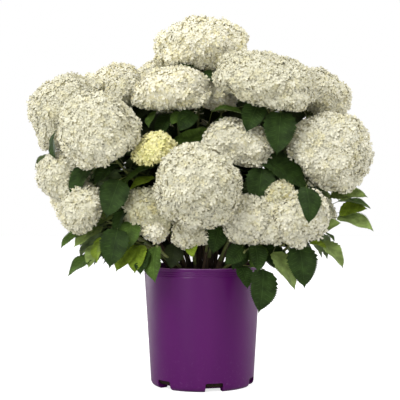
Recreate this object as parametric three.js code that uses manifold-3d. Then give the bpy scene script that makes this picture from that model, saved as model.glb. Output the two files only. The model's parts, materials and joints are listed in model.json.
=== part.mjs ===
/**
 * Mophead hydrangea in a nursery pot, in millimetres.
 * +Z is up, the front is towards -Y, and the origin is the centre of the pot's underside.
 *
 * Canes fan out of the growing medium. Each carries opposite pairs of leaves, every pair a
 * quarter turn from the last, and ends in one domed flower head. A tall cane is two pieces:
 * the bare cane, and above it the spray of leaves and the flower head. A low shoot is one.
 */
import * as THREE from "three";
import { ConvexHull } from "three/addons/math/ConvexHull.js";
import { mergeVertices } from "three/addons/utils/BufferGeometryUtils.js";
import Module from "manifold-3d";

const wasm = await Module();
wasm.setup();

// ---- Driving sizes -------------------------------------------------------------------------

const GAP = 0.3;

const POT = {
  height: 271,
  rimRadius: 133.5,
  footRadius: 117.5,
  cornerRadius: 11,
  wall: 2.6,
  rimWall: 4.2,
  rimDepth: 9,
  footRingInner: 92,
  padRadius: 56,
  recess: 6,
  floor: 4,
  sides: 44,
};
const NOTCH = { count: 6, width: 40, height: 20, inner: 98, firstAzimuth: -77 };
const SOIL = { top: 244, edgeDrop: 7, flatRadius: 98 };

const CANE = {
  footRadius: 4.6,
  tipRadius: 2.7,
  sides: 4,
  step: 58,
  sunk: 14, // how far its tip runs on into its flower head
  bow: 0.4, // the share of its lean that it already has at its foot
  reachUp: 0.36, // how far each end runs on in its own direction, as a share of the span
  reachBack: 0.3,
  clearance: 14,
  steerStep: 1.5,
  steerRounds: 40,
};
const FAN_RADIUS = 88; // where a level cane would stand; an upright one stands on the axis
const FOOT_ROOM = 15;
const FOOT_ROUNDS = 60;
const SPRAY_LENGTH = 235; // how far the leafy spray of a tall cane reaches below its head
const BARE = { spray: 12, shoot: 0.14 }; // leafless at the foot: in mm, and as a share

const LEAF = {
  length: 112,
  youngest: 0.74, // the top pair's size, as a share of a full leaf's
  stalk: 22,
  stalkGrowth: 16,
  petioleRadius: 1.7,
  thickness: 2.6,
  halfWidth: 0.36,
  fold: 0.2,
  lowest: 262, // a little below the pot's rim
  clearance: 11,
  turns: 13, // how many directions are tried before a leaf is left out
  turn: 0.24,
  shrink: 0.035, // how much smaller it grows with each try
};
const PAIR = { first: 24, firstOnShoot: 4, spacing: 44, growth: 5 };
const CROWN = { heart: 280, level: 440, reach: 402, depth: 380, rise: 330, fall: 262 };
const HEAD = {
  domeShare: 0.64, // of the depth that is above the widest part
  fullness: 2.6, // of the underside: 2 is an ellipse, and more is squarer
  domeFullness: 2.3,
  bumpWidth: 44,
  pit: 0.91,
  lump: 0.04,
  clearance: 5,
  tallTip: 0.65, // how far the head of a tall cane tips outwards, next to a low one
  shown: 0.75, // the share of a head that no leaf hangs before
  shownTo: 60, // heads whose middles are nearer the front than this
};

// Flower heads: the middle of each at its widest, how far it is across, and how deep it is
// from the crown of the dome to the underside.
const HEADS = [
  { name: "top", at: [-1, 30, 760], across: 236, deep: 132, tall: true },
  { name: "upper_right", at: [135, -106, 671], across: 228, deep: 118, tall: true },
  { name: "far_right", at: [268, 72, 659], across: 178, deep: 112, tall: true },
  { name: "right", at: [276, -66, 515], across: 190, deep: 176, tall: true },
  { name: "far_left", at: [-306, 4, 611], across: 190, deep: 158, tall: true },
  { name: "left", at: [-214, -168, 557], across: 172, deep: 156, tall: true },
  { name: "back_left_upper", at: [-200, 108, 676], across: 132, deep: 116, tall: true },
  { name: "back_upper", at: [-122, 220, 690], across: 140, deep: 120, tall: true },
  { name: "upper_left", at: [-63, -54, 655], across: 188, deep: 98, tall: true },
  { name: "upper_middle", at: [46, 26, 650], across: 80, deep: 64, tall: true },
  { name: "middle_right", at: [73, -92, 538], across: 170, deep: 98, tall: true },
  { name: "middle_left", at: [-103, -158, 527], across: 96, deep: 60, tall: true },
  { name: "front", at: [-9, -206, 442], across: 174, deep: 184 },
  { name: "left_low", at: [-302, -54, 467], across: 122, deep: 118 },
  { name: "left_lowest", at: [-253, -136, 400], across: 116, deep: 78 },
  { name: "front_left_low", at: [-109, -108, 388], across: 106, deep: 122 },
  { name: "front_low", at: [-31, -132, 350], across: 82, deep: 62 },
  { name: "front_middle_low", at: [95, -140, 374], across: 116, deep: 103 },
  { name: "front_right_low", at: [202, -157, 379], across: 124, deep: 118 },
  { name: "right_low", at: [262, -40, 388], across: 82, deep: 68 },
  { name: "rear_upper_right", at: [112, 216, 688], across: 188, deep: 116, tall: true },
  { name: "rear_left", at: [-262, 218, 562], across: 178, deep: 122, tall: true },
  { name: "rear_middle", at: [-18, 302, 582], across: 200, deep: 128, tall: true },
  { name: "rear_right", at: [218, 238, 546], across: 190, deep: 128, tall: true },
  { name: "rear_low_left", at: [-150, 292, 428], across: 178, deep: 124 },
  { name: "rear_low_right", at: [98, 318, 420], across: 178, deep: 124 },
  { name: "side_low_right", at: [240, 176, 398], across: 148, deep: 108 },
  { name: "side_low_left", at: [-290, 112, 430], across: 148, deep: 108 },
];

// Leafy shoots with no flower: where each one's tip is, and how low its leaves may hang.
const SHOOTS = [
  { name: "left_front", at: [-158, -126, 334] },
  { name: "left_side", at: [-192, -36, 352] },
  { name: "right_front", at: [92, -152, 312], lowest: 182 },
  { name: "right_corner", at: [184, -60, 320] },
  { name: "right_side", at: [206, 40, 352] },
  { name: "middle_front", at: [-98, -150, 322] },
  { name: "rear_left", at: [-138, 146, 322] },
  { name: "rear_middle", at: [-20, 196, 310] },
  { name: "rear_right", at: [128, 172, 316] },
  { name: "inner_right", at: [150, 10, 560] },
  { name: "inner_middle", at: [14, -34, 590] },
  { name: "inner_left", at: [-188, 30, 478] },
  { name: "inner_front", at: [152, -96, 452] },
  { name: "inner_rear", at: [58, 176, 520] },
];

const COLOURS = {
  pot: { color: 0x64296a, roughness: 0.42 },
  soil: { color: 0x2a1f18, roughness: 1.0 },
  cane: { color: 0x6d5a3a, roughness: 0.8 },
  bloom: { color: 0xe6e0c4, roughness: 0.85 },
  leafy: { color: 0x35501f, roughness: 0.6 },
};

// ---- Small helpers -------------------------------------------------------------------------

const V = (x, y, z) => new THREE.Vector3(x, y, z);
const UP = V(0, 0, 1);
const radians = THREE.MathUtils.degToRad;
const mixed = (...terms) => terms.reduce((sum, [k, v]) => sum.addScaledVector(v, k), V(0, 0, 0));

/** A repeatable stream of numbers from 0 to 1. */
function seeded(seed) {
  let a = seed >>> 0;
  return () => {
    a = (a + 0x6d2b79f5) >>> 0;
    let t = Math.imul(a ^ (a >>> 15), a | 1);
    t ^= t + Math.imul(t ^ (t >>> 7), t | 61);
    return ((t ^ (t >>> 14)) >>> 0) / 4294967296;
  };
}

/** A closed solid from loose vertices and triangles, turned so that its faces point out. */
function solidFrom(points, triangles) {
  const vertProperties = new Float32Array(points.flatMap((p) => [p.x, p.y, p.z]));
  const make = (faces) =>
    new wasm.Manifold(
      new wasm.Mesh({ numProp: 3, vertProperties, triVerts: new Uint32Array(faces.flat()) }),
    );
  const made = make(triangles);
  return made.volume() > 0 ? made : make(triangles.map(([a, b, c]) => [a, c, b]));
}

/** A closed solid from a three.js geometry. */
function solidOf(geometry) {
  const bare = new THREE.BufferGeometry().setAttribute("position", geometry.getAttribute("position"));
  if (geometry.index) bare.setIndex(geometry.index);
  const merged = mergeVertices(bare, 1e-3);
  const p = merged.getAttribute("position");
  const points = Array.from({ length: p.count }, (_, i) => V(p.getX(i), p.getY(i), p.getZ(i)));
  const index = Array.from(merged.index.array);
  const triangles = [];
  for (let i = 0; i < index.length; i += 3) {
    const [a, b, c] = index.slice(i, i + 3);
    if (a !== b && b !== c && c !== a) triangles.push([a, b, c]);
  }
  return solidFrom(points, triangles);
}

/** A solid turned about the Z axis from a profile of [radius, height] pairs. */
function turned(profile, sides) {
  const outline = profile.map(([r, z]) => new THREE.Vector2(r, z));
  return solidOf(new THREE.LatheGeometry(outline, sides).rotateX(Math.PI / 2));
}

function meshOf(name, solid, look) {
  const { numProp, vertProperties, triVerts, numVert } = solid.getMesh();
  const position = new Float32Array(numVert * 3);
  for (let i = 0; i < numVert; i++) {
    position.set(vertProperties.subarray(i * numProp, i * numProp + 3), i * 3);
  }
  const geometry = new THREE.BufferGeometry();
  geometry.setAttribute("position", new THREE.BufferAttribute(position, 3));
  geometry.setIndex(new THREE.BufferAttribute(triVerts, 1));
  const material = new THREE.MeshStandardMaterial({ ...look, metalness: 0, flatShading: true });
  const mesh = new THREE.Mesh(geometry, material);
  mesh.name = name;
  return mesh;
}

// ---- Pot and growing medium ----------------------------------------------------------------

/** The outer wall's radius at a height, above the rounded corner. */
function potRadius(z) {
  const share = (z - POT.cornerRadius) / (POT.height - POT.cornerRadius);
  return POT.footRadius + (POT.rimRadius - POT.footRadius) * share;
}

/** A block that cuts the foot from a radius outwards, up to a height above the ground. */
function notchCutter(inner, height, azimuth) {
  const below = 5;
  const length = POT.footRadius + 12 - inner;
  const block = new THREE.BoxGeometry(length, NOTCH.width, height + below);
  block.translate(inner + length / 2, 0, (height - below) / 2);
  return solidOf(block.rotateZ(azimuth));
}

function potSolid() {
  const corner = [0, 30, 60, 90].map((degrees) => [
    POT.footRadius - POT.cornerRadius * (1 - Math.sin(radians(degrees))),
    POT.cornerRadius * (1 - Math.cos(radians(degrees))),
  ]);
  const inside = POT.recess + POT.floor;
  const ledge = POT.height - POT.rimDepth;
  const profile = [
    [0, 0],
    [POT.padRadius, 0],
    [POT.padRadius + 4, POT.recess],
    [POT.footRingInner - 3, POT.recess],
    [POT.footRingInner, 0],
    ...corner,
    [POT.rimRadius, POT.height - 1.5],
    [POT.rimRadius - 1.2, POT.height],
    [POT.rimRadius - POT.rimWall, POT.height],
    [potRadius(ledge) - POT.rimWall, ledge],
    [potRadius(ledge - 3) - POT.wall, ledge - 3],
    [potRadius(inside + 6) - POT.wall, inside + 6],
    [potRadius(inside) - POT.wall - 4, inside],
    [0, inside],
  ];
  let pot = turned(profile, POT.sides);
  for (let i = 0; i < NOTCH.count; i++) {
    const azimuth = radians(NOTCH.firstAzimuth + (360 / NOTCH.count) * i);
    pot = pot.subtract(notchCutter(NOTCH.inner, NOTCH.height, azimuth));
    pot = pot.subtract(notchCutter(POT.footRingInner - 8, POT.recess, azimuth));
  }
  return pot;
}

function soilSolid() {
  const bottom = POT.recess + POT.floor + GAP;
  const inner = (z) => potRadius(z) - POT.wall - GAP;
  const profile = [
    [0, bottom],
    [inner(bottom) - 4.5, bottom],
    [inner(bottom + 6.5) - 0.4, bottom + 6.5],
    [inner(SOIL.top - SOIL.edgeDrop), SOIL.top - SOIL.edgeDrop],
    [SOIL.flatRadius, SOIL.top],
    [0, SOIL.top],
  ];
  return turned(profile, POT.sides / 2);
}

// ---- Canes ---------------------------------------------------------------------------------

/** Adds each stem's lean, its head's facing and its foot on the growing medium. */
function plantStems() {
  const heads = HEADS.map((head) => ({ ...head, flowers: true }));
  const stems = [...heads, ...SHOOTS.map((shoot) => ({ ...shoot, across: 0, deep: 0 }))];
  for (const stem of stems) {
    const [x, y, z] = stem.at;
    const reach = Math.hypot(x, y);
    stem.centre = V(x, y, z);
    stem.outward = V(x / reach, y / reach, 0);
    stem.lean = Math.atan2(reach, z - SOIL.top);
    const tip = stem.tall ? HEAD.tallTip : 1;
    stem.facing = V(x * tip, y * tip, z - CROWN.heart).normalize();
    if (!stem.flowers) stem.facing = mixed([1, stem.outward], [0.25, UP]).normalize();
    const radius = (FAN_RADIUS * stem.lean) / (Math.PI / 2);
    stem.foot = stem.outward.clone().multiplyScalar(radius).setZ(SOIL.top + GAP);
  }
  spreadFeet(stems);
  stems.forEach((stem, index) => routeStem(stem, index));
  for (const stem of stems) steerClear(stem, stems);
  return stems;
}

/** Pushes feet that stand too close apart, a little at a time. */
function spreadFeet(stems) {
  for (let round = 0; round < FOOT_ROUNDS; round++) {
    for (const [i, a] of stems.entries()) {
      for (const b of stems.slice(i + 1)) {
        const between = b.foot.clone().sub(a.foot);
        const short = FOOT_ROOM - between.length();
        if (short <= 0) continue;
        between.normalize().multiplyScalar(short / 2);
        a.foot.sub(between);
        b.foot.add(between);
      }
    }
  }
}

/** The cane's curve, from its foot to the underside of its head, and a frame along it. */
function routeStem(stem, index) {
  const under = stem.deep * (1 - HEAD.domeShare);
  const tip = mixed([1, stem.centre], [-under * 0.8, stem.facing]);
  const span = tip.distanceTo(stem.foot);
  const start = stem.lean * CANE.bow;
  const rise = mixed([Math.sin(start), stem.outward], [Math.cos(start), UP]);
  stem.curve = new THREE.CubicBezierCurve3(
    stem.foot,
    mixed([1, stem.foot], [span * CANE.reachUp, rise]),
    mixed([1, tip], [-span * CANE.reachBack, stem.facing]),
    tip,
  );
  stem.across3 = V(-stem.outward.y, stem.outward.x, 0);
  stem.seed = 101 + index * 37;
}

/** Bends a cane's curve away from every other stem's flower head that it would run through. */
function steerClear(stem, stems) {
  const others = stems.filter((other) => other !== stem && other.flowers);
  const { v1, v2 } = stem.curve;
  for (let round = 0; round < CANE.steerRounds; round++) {
    for (let t = 0.05; t < 1; t += 0.05) {
      const p = stem.curve.getPoint(t);
      for (const other of others.filter((head) => inHead(head, p, CANE.clearance))) {
        const push = p.clone().sub(other.centre).normalize().multiplyScalar(CANE.steerStep);
        v1.addScaledVector(push, 1 - t);
        v2.addScaledVector(push, t);
      }
    }
  }
  stem.curve.updateArcLengths();
  stem.length = stem.curve.getLength();
}

/** Place, direction and a side vector on a stem, some way along it from its foot. */
function along(stem, distance) {
  const share = THREE.MathUtils.clamp(distance / stem.length, 0, 1);
  const direction = stem.curve.getTangentAt(share);
  const side = stem.across3.clone().cross(direction).normalize();
  return { share, place: stem.curve.getPointAt(share), direction, side };
}

const caneRadius = (share) => CANE.footRadius + (CANE.tipRadius - CANE.footRadius) * share;

/** One tapering limb of the stem, between two distances from its foot, with flat ends. */
function limbSolid(stem, from, to, sunk = 0) {
  const steps = Math.max(2, Math.ceil((to - from) / CANE.step));
  const points = [];
  for (let i = 0; i <= steps; i++) {
    const { share, place, direction, side } = along(stem, from + ((to - from) * i) / steps);
    if (i === steps) place.addScaledVector(direction, sunk);
    const level = i === 0 && from === 0;
    const u = level ? stem.outward : side;
    const v = level ? stem.across3 : side.clone().cross(direction).negate();
    for (let k = 0; k < CANE.sides; k++) {
      const angle = (2 * Math.PI * k) / CANE.sides;
      const r = caneRadius(share);
      points.push(mixed([1, place], [r * Math.cos(angle), u], [r * Math.sin(angle), v]));
    }
  }
  const n = CANE.sides;
  const triangles = [];
  for (let i = 0; i < steps; i++) {
    for (let k = 0; k < n; k++) {
      const a = i * n + k;
      const b = i * n + ((k + 1) % n);
      triangles.push([a, b, b + n], [a, b + n, a + n]);
    }
  }
  for (let k = 1; k < n - 1; k++) {
    triangles.push([0, k + 1, k], [steps * n, steps * n + k, steps * n + k + 1]);
  }
  return solidFrom(points, triangles);
}

// ---- Flower heads --------------------------------------------------------------------------

/** Two directions square to the way a head faces. */
function headFrame(stem) {
  const u = UP.clone().cross(stem.facing);
  if (u.length() < 0.05) u.set(1, 0, 0);
  u.normalize();
  return { u, v: stem.facing.clone().cross(u).normalize() };
}

/** Slow swellings that keep a head from being a plain dome. */
function lumpAt(d, phase) {
  return HEAD.lump * (Math.sin(3.1 * d.x + phase) + Math.sin(3.7 * d.y + 2.1 * phase) * Math.cos(2.9 * d.z));
}

/** A dome is round above, and its underside is flatter, with a fuller edge. */
function fullnessAt(d) {
  const n = d.z > 0 ? HEAD.domeFullness : HEAD.fullness;
  return (Math.hypot(d.x, d.y) ** n + Math.abs(d.z) ** n) ** (-1 / n);
}

/** The place on a head's skin in the direction d, which is given in the head's own frame. */
function headPoint(stem, d, scale = 1) {
  const { u, v } = headFrame(stem);
  const a = stem.across / 2;
  const c = stem.deep * (d.z > 0 ? HEAD.domeShare : 1 - HEAD.domeShare);
  const s = scale * fullnessAt(d) * (1 + lumpAt(d, stem.seed));
  return mixed([1, stem.centre], [a * d.x * s, u], [a * d.y * s, v], [c * d.z * s, stem.facing]);
}

/** A dome of bumps, each a cluster of florets, with a pit between every three. */
function headSolid(stem) {
  const a = stem.across / 2;
  const count = Math.round((2 * Math.PI * a * (a + stem.deep) * 0.62) / HEAD.bumpWidth ** 2) + 8;
  const turn = Math.PI * (3 - Math.sqrt(5));
  const lattice = Array.from({ length: count }, (_, i) => {
    const z = 1 - (2 * i + 1) / count;
    const r = Math.sqrt(1 - z * z);
    return V(r * Math.cos(turn * i), r * Math.sin(turn * i), z);
  });
  const indexOf = new Map(lattice.map((d, i) => [d, i]));
  const points = lattice.map((d) => headPoint(stem, d));
  const triangles = [];
  for (const face of new ConvexHull().setFromPoints(lattice).faces) {
    const corners = [face.edge.head().point, face.edge.next.head().point, face.edge.prev.head().point];
    const [i, j, k] = corners.map((d) => indexOf.get(d));
    const pit = mixed(...corners.map((d) => [1 / 3, d])).normalize();
    const m = points.push(headPoint(stem, pit, HEAD.pit)) - 1;
    triangles.push([i, j, m], [j, k, m], [k, i, m]);
  }
  return solidFrom(points, triangles);
}

// ---- Leaves --------------------------------------------------------------------------------

/** A leaf's half width at a share of its length: a rounded base and a pointed tip. */
const leafHalfWidth = (u) => LEAF.halfWidth * 2.38 * Math.sqrt(u) * (1 - u) ** 0.8;

/**
 * A leaf that leaves its stem at a node. The stalk rises at an angle, and the blade then
 * bends down along its length by the given droop, about an axis tipped by the given roll.
 */
function shapeLeaf({ place, direction, out, length, stalk, lift, droop, roll }) {
  const way = mixed([Math.cos(lift), out], [Math.sin(lift), direction]).normalize();
  const start = mixed([1, place], [stalk, way]);
  const ahead = mixed([1, way], [0.35, V(way.x, way.y, 0)], [-0.25, UP]).normalize();
  const down = mixed([-1, UP], [ahead.z, ahead]).normalize();
  const level = ahead.clone().cross(down);
  const bend = mixed([Math.cos(roll), down], [Math.sin(roll), level]);
  const wide = ahead.clone().cross(bend);
  const root = mixed([1, place], [-LEAF.petioleRadius, out]);
  return { root, start, ahead, bend, wide, length, droop };
}

/** The place on a leaf at u along its length and v across it, from -1 to 1. */
function leafPoint(leaf, u, v, raised = 0) {
  const angle = leaf.droop * u;
  const forward = (leaf.length * Math.sin(angle)) / leaf.droop;
  const sunk = (leaf.length * (1 - Math.cos(angle))) / leaf.droop;
  const half = leaf.length * leafHalfWidth(u) * v;
  const lift = raised + LEAF.fold * Math.abs(half);
  return mixed(
    [1, leaf.start],
    [forward + lift * Math.sin(angle), leaf.ahead],
    [sunk - lift * Math.cos(angle), leaf.bend],
    [half, leaf.wide],
  );
}

/** Stalk and blade as one closed solid of 22 faces. */
function leafSolid(leaf) {
  const r = LEAF.petioleRadius;
  const ring = (at, size) => [
    mixed([1, at], [size, leaf.wide], [-size * 0.5, leaf.bend]),
    mixed([1, at], [-size, leaf.wide], [-size * 0.5, leaf.bend]),
    mixed([1, at], [size, leaf.bend]),
  ];
  const half = LEAF.thickness / 2;
  const points = [
    ...ring(leaf.root, r),
    ...ring(leaf.start, r * 0.9),
    leafPoint(leaf, 0.2, 1),
    leafPoint(leaf, 0.58, 1),
    leafPoint(leaf, 1, 0),
    leafPoint(leaf, 0.58, -1),
    leafPoint(leaf, 0.2, -1),
    leafPoint(leaf, 0.36, 0, half),
    leafPoint(leaf, 0.36, 0, -half),
  ];
  const [A0, A1, A2, B0, B1, B2, L1, L2, T, R2, R1, TOP, LOW] = points.keys();
  const rim = [B0, L1, L2, T, R2, R1, B1];
  const triangles = [[A0, A2, A1]];
  for (const [a, b, c, d] of [[A0, A1, B1, B0], [A1, A2, B2, B1], [A2, A0, B0, B2]]) {
    triangles.push([a, b, c], [a, c, d]);
  }
  rim.forEach((p, i) => triangles.push([rim[(i + 1) % rim.length], p, TOP]));
  const belly = [...rim, B2];
  belly.forEach((p, i) => triangles.push([p, belly[(i + 1) % belly.length], LOW]));
  return solidFrom(points, triangles);
}

/** Places all over a leaf and its stalk, close enough together to stand for it. */
function leafProbes(leaf) {
  const probes = [0.3, 0.6, 0.85].map((k) => leaf.root.clone().lerp(leaf.start, k));
  for (let i = 0; i <= 10; i++) {
    for (const v of [-1, -0.7, -0.35, 0, 0.35, 0.7, 1]) probes.push(leafPoint(leaf, i / 10, v));
  }
  return probes;
}

/** How far out of the crown's own space a place is: 1 on its skin. */
function crownShare(p) {
  const height = (p.z - CROWN.level) / (p.z > CROWN.level ? CROWN.rise : CROWN.fall);
  return (p.x / CROWN.reach) ** 2 + (p.y / CROWN.depth) ** 2 + height ** 2;
}

/** True if the place is in a flower head, or within the clearance of one. */
function inHead(stem, p, clearance = HEAD.clearance) {
  const { u, v } = headFrame(stem);
  const d = p.clone().sub(stem.centre);
  const z = d.dot(stem.facing);
  const a = stem.across / 2 + clearance;
  const c = stem.deep * (z > 0 ? HEAD.domeShare : 1 - HEAD.domeShare) + clearance;
  return (d.dot(u) / a) ** 2 + (d.dot(v) / a) ** 2 + (z / c) ** 2 < 1.08;
}

/** True if a leaf at the place would hang before the middle of a flower head. */
function hidesHead(head, p) {
  const away = Math.hypot(p.x - head.centre.x, p.z - head.centre.z);
  const shown = (head.across / 2) * HEAD.shown;
  return head.centre.y < HEAD.shownTo && p.y < head.centre.y && away < shown;
}

/** True if the place is in the pot, or close over its rim. */
function inPot(p) {
  return p.z < POT.height + 5 && Math.hypot(p.x, p.y) < potRadius(Math.min(p.z, POT.height)) + 5;
}

/** A store of places already taken, which finds any near a new one. */
class Taken {
  cells = new Map();
  key = (i, j, k) => `${i},${j},${k}`;
  cell = (p) => [p.x, p.y, p.z].map((c) => Math.floor(c / LEAF.clearance));
  add(p, owner) {
    const key = this.key(...this.cell(p));
    if (!this.cells.has(key)) this.cells.set(key, []);
    this.cells.get(key).push({ p, owner });
  }
  near(p, except) {
    const [i, j, k] = this.cell(p);
    for (const a of [i - 1, i, i + 1]) {
      for (const b of [j - 1, j, j + 1]) {
        for (const c of [k - 1, k, k + 1]) {
          const found = this.cells.get(this.key(a, b, c)) ?? [];
          const close = ({ p: q, owner }) => owner !== except && q.distanceTo(p) < LEAF.clearance;
          if (found.some(close)) return true;
        }
      }
    }
    return false;
  }
}

/** Grows every stem's leaves in pairs from the top down, and skips what has no room. */
function growLeaves(stems) {
  const heads = stems.filter((stem) => stem.flowers);
  const taken = new Taken();
  for (const stem of stems) {
    for (let s = 0; s <= stem.length; s += LEAF.clearance * 0.8) {
      taken.add(along(stem, s).place, stem.name);
    }
  }
  const fits = (stem, probes) =>
    probes.every(
      (p, i) =>
        crownShare(p) < 1 &&
        p.z > (stem.lowest ?? LEAF.lowest) &&
        !inPot(p) &&
        !heads.some((head) => inHead(head, p) || hidesHead(head, p)) &&
        !taken.near(p, i < 3 ? stem.name : undefined),
    );
  for (const stem of stems) {
    stem.leaves = [];
    const random = seeded(stem.seed);
    const bottom = stem.tall ? stem.length - SPRAY_LENGTH + BARE.spray : stem.length * BARE.shoot;
    let distance = stem.length - (stem.flowers ? PAIR.first : PAIR.firstOnShoot);
    for (let pair = 0; distance > bottom; pair++) {
      const node = along(stem, distance);
      const square = node.direction.clone().cross(node.side);
      const quarter = (pair * Math.PI) / 2 + 0.5 * random();
      for (const opposite of [0, Math.PI]) {
        const age = Math.min(1, (pair + 0.6) / 2);
        const grown = LEAF.youngest + (1 - LEAF.youngest) * age + 0.12 * random();
        for (let turn = 0; turn < LEAF.turns; turn++) {
          const aside = (turn % 2 ? 1 : -1) * Math.ceil(turn / 2) * LEAF.turn;
          const swing = quarter + opposite + aside;
          const leaf = shapeLeaf({
            place: node.place,
            direction: node.direction,
            out: mixed([Math.cos(swing), node.side], [Math.sin(swing), square]),
            length: LEAF.length * grown * (1 - LEAF.shrink * turn),
            stalk: LEAF.stalk + LEAF.stalkGrowth * grown + 8 * random(),
            lift: 0.35 + 0.3 * random(),
            droop: 0.4 + 0.5 * random(),
            roll: 0.5 * (random() - 0.5),
          });
          const probes = leafProbes(leaf);
          if (!fits(stem, probes)) continue;
          probes.forEach((p, i) => taken.add(p, i < 3 ? stem.name : "blade"));
          stem.leaves.push(leaf);
          break;
        }
      }
      distance -= PAIR.spacing + PAIR.growth * pair;
    }
  }
}

// ---- Assembly ------------------------------------------------------------------------------

function assemble() {
  const group = new THREE.Group();
  group.add(meshOf("pot", potSolid(), COLOURS.pot));
  group.add(meshOf("soil", soilSolid(), COLOURS.soil));
  const stems = plantStems();
  growLeaves(stems);
  for (const stem of stems) {
    let from = 0;
    if (stem.tall) {
      const split = stem.length - SPRAY_LENGTH;
      group.add(meshOf(`cane_${stem.name}`, limbSolid(stem, 0, split), COLOURS.cane));
      from = split + GAP;
    }
    let spray = limbSolid(stem, from, stem.length, stem.flowers ? CANE.sunk : 0);
    if (stem.flowers) spray = spray.add(headSolid(stem));
    for (const leaf of stem.leaves) spray = spray.add(leafSolid(leaf));
    const kind = stem.flowers ? "bloom" : "leafy";
    group.add(meshOf(`${kind}_${stem.name}`, spray, COLOURS[kind]));
  }
  return group;
}

export default assemble();
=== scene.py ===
"""The looks of a mophead hydrangea in a nursery pot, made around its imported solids.

The plant is grown again here by the rule that its solids follow: canes that fan out of the
growing medium, opposite pairs of leaves that each turn a quarter from the last, and a domed
flower head on every cane. Here each leaf has veins and teeth, each head its florets.
Sizes are in millimetres until a mesh is made, which is in metres.
"""

import json
import math

import bmesh
import bpy
import numpy as np
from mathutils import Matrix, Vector

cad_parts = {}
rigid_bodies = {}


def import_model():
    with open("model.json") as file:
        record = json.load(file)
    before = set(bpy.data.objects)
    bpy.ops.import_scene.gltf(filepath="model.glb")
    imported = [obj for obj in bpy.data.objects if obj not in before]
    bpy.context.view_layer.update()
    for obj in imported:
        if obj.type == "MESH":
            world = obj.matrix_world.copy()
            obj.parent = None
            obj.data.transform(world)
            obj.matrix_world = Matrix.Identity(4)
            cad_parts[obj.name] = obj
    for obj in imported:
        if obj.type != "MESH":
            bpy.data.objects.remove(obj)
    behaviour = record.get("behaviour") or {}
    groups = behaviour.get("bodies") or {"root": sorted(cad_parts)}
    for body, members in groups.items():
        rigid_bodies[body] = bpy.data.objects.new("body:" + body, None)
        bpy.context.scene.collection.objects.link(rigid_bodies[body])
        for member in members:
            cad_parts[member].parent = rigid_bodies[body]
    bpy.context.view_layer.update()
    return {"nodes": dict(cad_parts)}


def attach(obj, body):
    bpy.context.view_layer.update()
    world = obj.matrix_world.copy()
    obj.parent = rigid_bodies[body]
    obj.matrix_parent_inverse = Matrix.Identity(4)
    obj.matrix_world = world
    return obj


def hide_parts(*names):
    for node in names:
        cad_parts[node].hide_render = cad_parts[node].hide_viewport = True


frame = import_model()

MM = 0.001
BODY = "root"
UP = np.array([0.0, 0.0, 1.0])

# ---- Sizes shared with the solids, in millimetres --------------------------------------------

GAP = 0.3  # between the growing medium and what touches it
POT = dict(height=271, rim_radius=133.5, foot_radius=117.5, corner=11, wall=2.6, rim_wall=4.2,
           rim_depth=9, ring_inner=92, pad=56, recess=6, floor=4)
NOTCH = dict(count=6, width=40, height=20, inner=98, first=-77)
SOIL = dict(top=244, edge_drop=7, flat_radius=98)
CANE = dict(foot=4.6, tip=2.7, bow=0.4, lower_pull=0.36, upper_pull=0.3, into_head=0.8,
            clearance=14, steer_step=1.5, steer_rounds=40)
FAN_RADIUS = 88  # how far out the foot of a cane would be if it leaned until level
FOOT_ROOM, FOOT_ROUNDS = 15, 60  # how far apart the feet are kept, in this many rounds
SPRAY_LENGTH = 235  # the leafy part of a tall cane
SPRAY_MARGIN = 12  # from its lower end to the lowest pair of leaves
SHOOT_BARE = 0.14  # the leafless share of a low stem
LEAF = dict(length=112, youngest=0.74, stalk=22, stalk_growth=16, petiole=1.7, half_width=0.36,
            fold=0.2, lowest=262, clearance=11, turns=13, turn=0.24, shrink=0.035, quilt=0.012,
            outline=2.38, taper=0.8, outwards=0.35, downwards=0.25, lift=0.35, droop=0.4)
CHANCE = dict(quarter=0.5, size=0.12, stalk=8, lift=0.3, droop=0.5, roll=0.5)  # widths of the ranges
PAIR = dict(first=24, first_on_shoot=4, spacing=44, growth=5)
CROWN = dict(heart=280, level=440, reach=402, depth=380, rise=330, fall=262)
HEAD = dict(dome=0.64, fullness=2.6, dome_fullness=2.3, lump=0.04, clearance=5, tall_tip=0.65,
            shown=0.75, shown_to=60, margin=1.08)

# ---- Sizes that only the looks need ----------------------------------------------------------

GROOVE = dict(heights=(254.0, 258.5, 263.0), half=0.8, deep=0.5)  # under the pot's rim
CHIP = dict(spacing=5, length=9, seed=3)
JOINT = dict(slim=0.9, length=4.5)  # a stem is this slim, but swells at each pair of leaves
RAY = dict(count=7, from_tip=10, turn=0.3, spread=0.3, sunk=0.45, bulge=0.08,
           radii=(1.7, 1.4, 1.1))  # the stalks under a flower head
LOBE = dict(width=46, cleft=0.24, uneven=0.14, under=8, fewest=12, low=0.1, low_uneven=1.7,
            stray=0.9, gap=3.55)  # the cymes that make up a head
FLORET = dict(spacing=6.3, radius=7.9, rise=3.2, tilt=0.3, smallest=0.82, largest=1.12)
PETAL = dict(shortest=0.92, longer=0.16, half_tip=0.5, cleft=0.46, cleft_lift=0.15, thick=0.12)
TOOTH = dict(out=1.09, back=0.94, forward=0.014, tip=1.06)  # shares of the blade
VEIN = dict(slant=0.28, straight=0.2, curve=0.8, lift=0.5, reach=(0, 0.45, 0.86),
            widths=(1.4, 1.1, 0.5), midrib=(2.8, 0.7), midrib_end=0.96, midrib_rings=8)
BLADE_SKIN = 0.32  # half a blade's thickness
WAVE = dict(height=0.028, count=1.6, curl=0.05, curl_up=0.35)

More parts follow.
